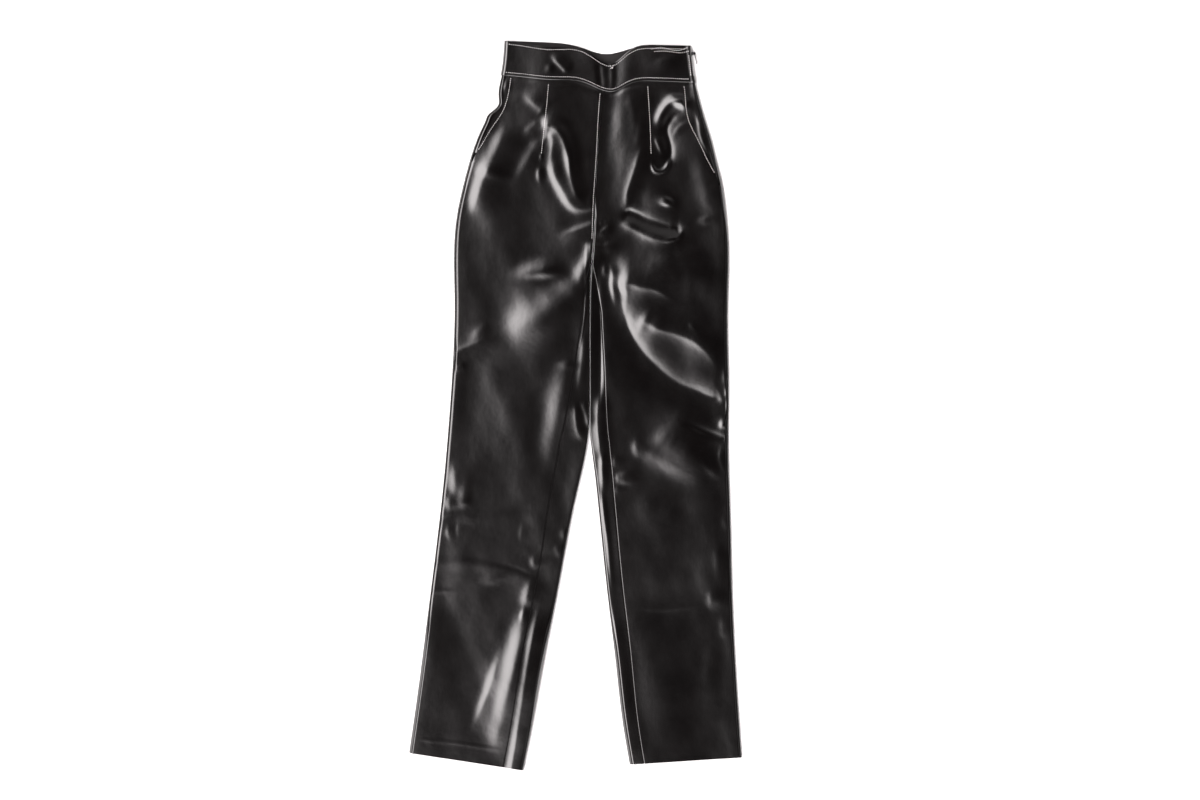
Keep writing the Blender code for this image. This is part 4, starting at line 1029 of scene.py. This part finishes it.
def makeZipCoil():
    info = zipInfo
    start, end = info["down"]
    steps = int((end - start) / info["pitch"] * info["turnSteps"])
    turn = np.arange(steps) * 2 * math.pi / info["turnSteps"]
    down = start + np.arange(steps) * info["pitch"] / info["turnSteps"]
    fold = curve(outerFold["left"], down)
    line = np.stack([fold - info["coilFrom"] + info["coilRadius"] * np.cos(turn), down,
                     info["coilZ"] + info["coilRadius"] * np.sin(turn)], -1)
    along = np.gradient(line, axis=0)
    along = along / np.linalg.norm(along, axis=1, keepdims=True)
    out = np.stack([np.cos(turn), np.zeros(steps), np.sin(turn)], -1)
    out = out - along * np.sum(out * along, axis=1, keepdims=True)
    across = np.cross(along, out)
    sides = info["wireSides"]
    angles = np.arange(sides) * 2 * math.pi / sides
    tube = line[:, None] + info["wire"] * (out[:, None] * np.cos(angles)[None, :, None]
                                           + across[:, None] * np.sin(angles)[None, :, None])
    index = np.arange(steps * sides).reshape(steps, sides)
    nextSide = np.roll(index, -1, axis=1)
    faces = np.stack([index[:-1], nextSide[:-1], nextSide[1:], index[1:]], -1).reshape(-1, 4).tolist()
    faces += [index[0].tolist(), index[-1][::-1].tolist()]
    meshPiece("zipCoil", toWorld(tube.reshape(-1, 3)), faces, [coilPlastic])


def startShape(add, **settings):  # a fresh primitive, alone in the selection, its size and place applied
    bpy.ops.object.select_all(action="DESELECT")
    add(**settings)
    bpy.ops.object.transform_apply(location=True, rotation=True, scale=True)
    return bpy.context.active_object


def softenEdges(width, segments):
    bpy.ops.object.mode_set(mode="EDIT")
    bpy.ops.mesh.select_all(action="SELECT")
    bpy.ops.mesh.bevel(offset=width, segments=segments, affect="EDGES")
    bpy.ops.object.mode_set(mode="OBJECT")


def pickFaces(shape, chosen):  # selects the faces whose outward direction passes the test, in edit mode
    bpy.ops.object.mode_set(mode="EDIT")
    bpy.ops.mesh.select_mode(type="FACE")
    bpy.ops.mesh.select_all(action="DESELECT")
    bpy.ops.object.mode_set(mode="OBJECT")
    for face in shape.data.polygons:
        face.select = chosen(face.normal)
    bpy.ops.object.mode_set(mode="EDIT")


def block(low, high):  # a box between two corners in metres
    centre = [(a + b) / 2 for a, b in zip(low, high)]
    return startShape(bpy.ops.mesh.primitive_cube_add, size=1, location=centre,
                      scale=[b - a for a, b in zip(low, high)])


crispFrom = 35  # degrees between two faces from which the edge of a metal piece isn't smoothed


def joinShapes(shapes, name, material):
    bpy.ops.object.select_all(action="DESELECT")
    for shape in shapes:
        shape.select_set(True)
    bpy.context.view_layer.objects.active = shapes[0]
    bpy.ops.object.join()
    piece = bpy.context.active_object
    piece.name = name
    piece.data.materials.clear()
    piece.data.materials.append(material)
    bpy.ops.object.shade_smooth_by_angle(angle=math.radians(crispFrom))
    bpy.ops.object.transform_apply(location=True, rotation=True, scale=True)
    return piece


sliderInfo = {
    "down": 19.0, "height": 3.6, "bodyIn": 2.6, "bodyOut": 1.9, "bodyHalf": 0.9, "halfLength": 2.5,
    "noseShare": 0.72, "plate": 0.8, "plateBite": 0.1, "pinReach": 2.4, "lugIn": 1.3, "lugOut": 2.1, "lugTip": 1.3,
    "lugHalf": 1.9, "lugBite": 0.2, "pinRadius": 0.7, "pinShort": 0.25, "pinSides": 20, "edge": 0.22, "segments": 2,
}
pullInfo = {
    "ringOuter": 1.9, "ringInner": 1.05, "width": 2.4, "from": 1.4, "length": 16.0, "thick": 0.9, "stands": 13.0,
    "recess": 0.14, "recessRim": 0.45, "edge": 0.16, "ringSides": 28,
}


def inMetres(info):
    return {name: value * mm for name, value in info.items()}


def finishMetal(piece, body, node):
    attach(piece, body)
    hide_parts(node)


def pinPlace():  # where the pull's pin stands, x and y in metres
    info = sliderInfo
    x = foldAt(info["down"]) + info["bodyOut"] + info["plate"] + info["pinReach"]
    return x * mm, (cut["laidLength"] / 2 - info["down"]) * mm


def makeSlider():
    size, segments = inMetres(sliderInfo), sliderInfo["segments"]
    x, y = pinPlace()
    z, half = size["height"], size["halfLength"]
    fold = foldAt(sliderInfo["down"]) * mm
    plateAt = fold + size["bodyOut"]
    bridge = plateAt + size["plate"]
    body = block((fold - size["bodyIn"], y - half, z - size["bodyHalf"]),
                 (plateAt + size["plateBite"], y + half, z + size["bodyHalf"]))
    pickFaces(body, lambda normal: normal.y < -0.5)  # the nose end is narrower
    share = sliderInfo["noseShare"]
    bpy.ops.transform.resize(value=(share, 1, share), center_override=(plateAt, y - half, z))
    bpy.ops.object.mode_set(mode="OBJECT")
    softenEdges(size["edge"], segments)
    plate = block((plateAt, y - half, z - size["lugOut"]), (bridge, y + half, z + size["lugOut"]))
    softenEdges(size["edge"], segments)
    shapes = [body, plate]
    for sign in (-1, 1):
        low, high = sorted((z + sign * size["lugIn"], z + sign * size["lugOut"]))
        shapes.append(block((bridge - size["lugBite"], y - size["lugHalf"], low),
                            (x + size["lugTip"], y + size["lugHalf"], high)))
        softenEdges(size["edge"], segments)
    shapes.append(startShape(bpy.ops.mesh.primitive_cylinder_add, vertices=sliderInfo["pinSides"],
                             radius=size["pinRadius"], depth=2 * (size["lugOut"] - size["pinShort"]),
                             location=(x, y, z)))
    softenEdges(size["edge"] / 2, 1)
    finishMetal(joinShapes(shapes, "zipSlider", zinc), "trousers", "zip_slider")


def makePull():  # modelled standing at the origin, then turned and put on its pin
    size = inMetres(pullInfo)
    ring = startShape(bpy.ops.mesh.primitive_cylinder_add, vertices=pullInfo["ringSides"],
                      radius=size["ringOuter"], depth=size["width"], location=(0, 0, 0))
    pickFaces(ring, lambda normal: abs(normal.z) > 0.5)
    bpy.ops.mesh.inset(thickness=size["ringOuter"] - size["ringInner"])
    bpy.ops.mesh.bridge_edge_loops()
    bpy.ops.object.mode_set(mode="OBJECT")
    softenEdges(size["edge"], 1)
    half, wide = size["thick"] / 2, size["width"] / 2
    tab = block((-half, -size["length"], -wide), (half, -size["from"], wide))
    pickFaces(tab, lambda normal: abs(normal.x) > 0.5)
    bpy.ops.mesh.inset(thickness=size["recessRim"])
    bpy.ops.transform.shrink_fatten(value=-size["recess"])
    bpy.ops.object.mode_set(mode="OBJECT")
    softenEdges(size["edge"] / 2, 1)
    pull = joinShapes([ring, tab], "zipPullTab", zinc)
    pull.rotation_euler = (0, 0, math.radians(pullInfo["stands"]))
    pull.location = (*pinPlace(), sliderInfo["height"] * mm)
    bpy.ops.object.transform_apply(location=True, rotation=True, scale=True)
    finishMetal(pull, "pull", "zip_pull")


for make in (makeZipTape, makeZipCoil, makeSlider, makePull):
    make()
print("zip made")

# plain studio light: wide softly edged panels low on all sides, the brightest beyond the wearer's right hip, and
# a dim gap between them that lies a little towards the other side of straight above. Each level is
# (from, to, strength at from, strength at to)
studio = {
    "gap": (0.12, 0.01, 0.0), "lengthways": 0.85, "bright": (-0.9, -0.45, 0.0),
    "backdrop": 0.95, "colour": (1.0, 0.955, 0.955, 1.0),
    "scrim": (0.155, 0.36, 0.12, 1.5), "panel": (0.25, 0.46, 0.0, 6.5),  # by the distance from the gap
    "above": (0.5, 0.75, 0.0, 1.0), "horizon": (0.1, 0.5, 0.6, 0.0),  # by the height over the horizon
    "side": (-0.2, 0.2, 0.05, 1.0),  # by how far towards the bright side
}


def makeStudio():
    info = studio
    world = bpy.data.worlds.new("studioLight")
    world.use_nodes = True
    bpy.context.scene.world = world
    tree = world.node_tree
    background = tree.nodes["Background"]
    sky = addNode(tree, "ShaderNodeTexCoord", {}, {}).outputs["Generated"]
    aside = addNode(tree, "ShaderNodeVectorMath", {"operation": "SUBTRACT", 1: info["gap"]}, {0: sky})
    flat = addNode(tree, "ShaderNodeVectorMath", {"operation": "MULTIPLY", 1: (1.0, info["lengthways"], 0.0)},
                   {0: aside.outputs["Vector"]})
    off = addNode(tree, "ShaderNodeVectorMath", {"operation": "LENGTH"}, {0: flat.outputs["Vector"]})
    up = addNode(tree, "ShaderNodeSeparateXYZ", {}, {"Vector": sky})
    towards = addNode(tree, "ShaderNodeVectorMath", {"operation": "DOT_PRODUCT", 1: info["bright"]}, {0: sky})
    sources = {"scrim": off.outputs["Value"], "panel": off.outputs["Value"], "above": up.outputs["Z"],
               "horizon": up.outputs["Z"], "side": towards.outputs["Value"]}
    levels = {}
    for name, source in sources.items():
        low, high, atLow, atHigh = info[name]
        level = addNode(tree, "ShaderNodeMapRange", {
            "interpolation_type": "SMOOTHSTEP", "From Min": low, "From Max": high,
            "To Min": atLow, "To Max": atHigh}, {"Value": source})
        levels[name] = level.outputs["Result"]
    lit = levels["scrim"]
    for operation, name in (("ADD", "panel"), ("MULTIPLY", "above"), ("MULTIPLY", "side"), ("ADD", "horizon")):
        step = addNode(tree, "ShaderNodeMath", {"operation": operation}, {0: lit, 1: levels[name]})
        lit = step.outputs["Value"]
    rays = addNode(tree, "ShaderNodeLightPath", {}, {})
    seen = addNode(tree, "ShaderNodeMix", {"data_type": "FLOAT", 3: info["backdrop"]},
                   {0: rays.outputs["Is Camera Ray"], 2: lit})
    tree.links.new(seen.outputs[0], background.inputs["Strength"])
    background.inputs["Color"].default_value = info["colour"]


makeStudio()

# matt white paper, with the faintest unevenness
floorInfo = {"size": 14.0, "colours": ("f2f2f2", "eeeeee"), "mottle": 60.0, "roughness": 0.9}


def makeFloor():
    info = floorInfo
    bpy.ops.object.select_all(action="DESELECT")
    bpy.ops.mesh.primitive_plane_add(size=info["size"], location=(0, 0, 0))
    floor = bpy.context.active_object
    floor.name = "floor"
    material, tree, shader, place = newMaterial("whitePaper")
    mixColours(tree, shader, cloudyNoise(tree, place, info["mottle"]), info["colours"])
    shader.inputs["Roughness"].default_value = info["roughness"]
    floor.data.materials.append(material)


makeFloor()

# straight above the laid trousers, the whole length in view
cameraInfo = {"lens": 85.0, "sensor": 36.0, "centre": (0.0360, 0.0080), "viewWidth": 1.7613, "farthest": 100.0}
camera = bpy.data.cameras.new("camera")
camera.lens = cameraInfo["lens"]
camera.sensor_width = cameraInfo["sensor"]
camera.clip_end = cameraInfo["farthest"]
cameraObject = bpy.data.objects.new("camera", camera)
distance = cameraInfo["viewWidth"] * cameraInfo["lens"] / cameraInfo["sensor"]
cameraObject.location = (*cameraInfo["centre"], distance)
bpy.context.scene.collection.objects.link(cameraObject)
bpy.context.scene.camera = cameraObject
bpy.context.scene.view_settings.view_transform = "Standard"
print("light, floor and camera set")
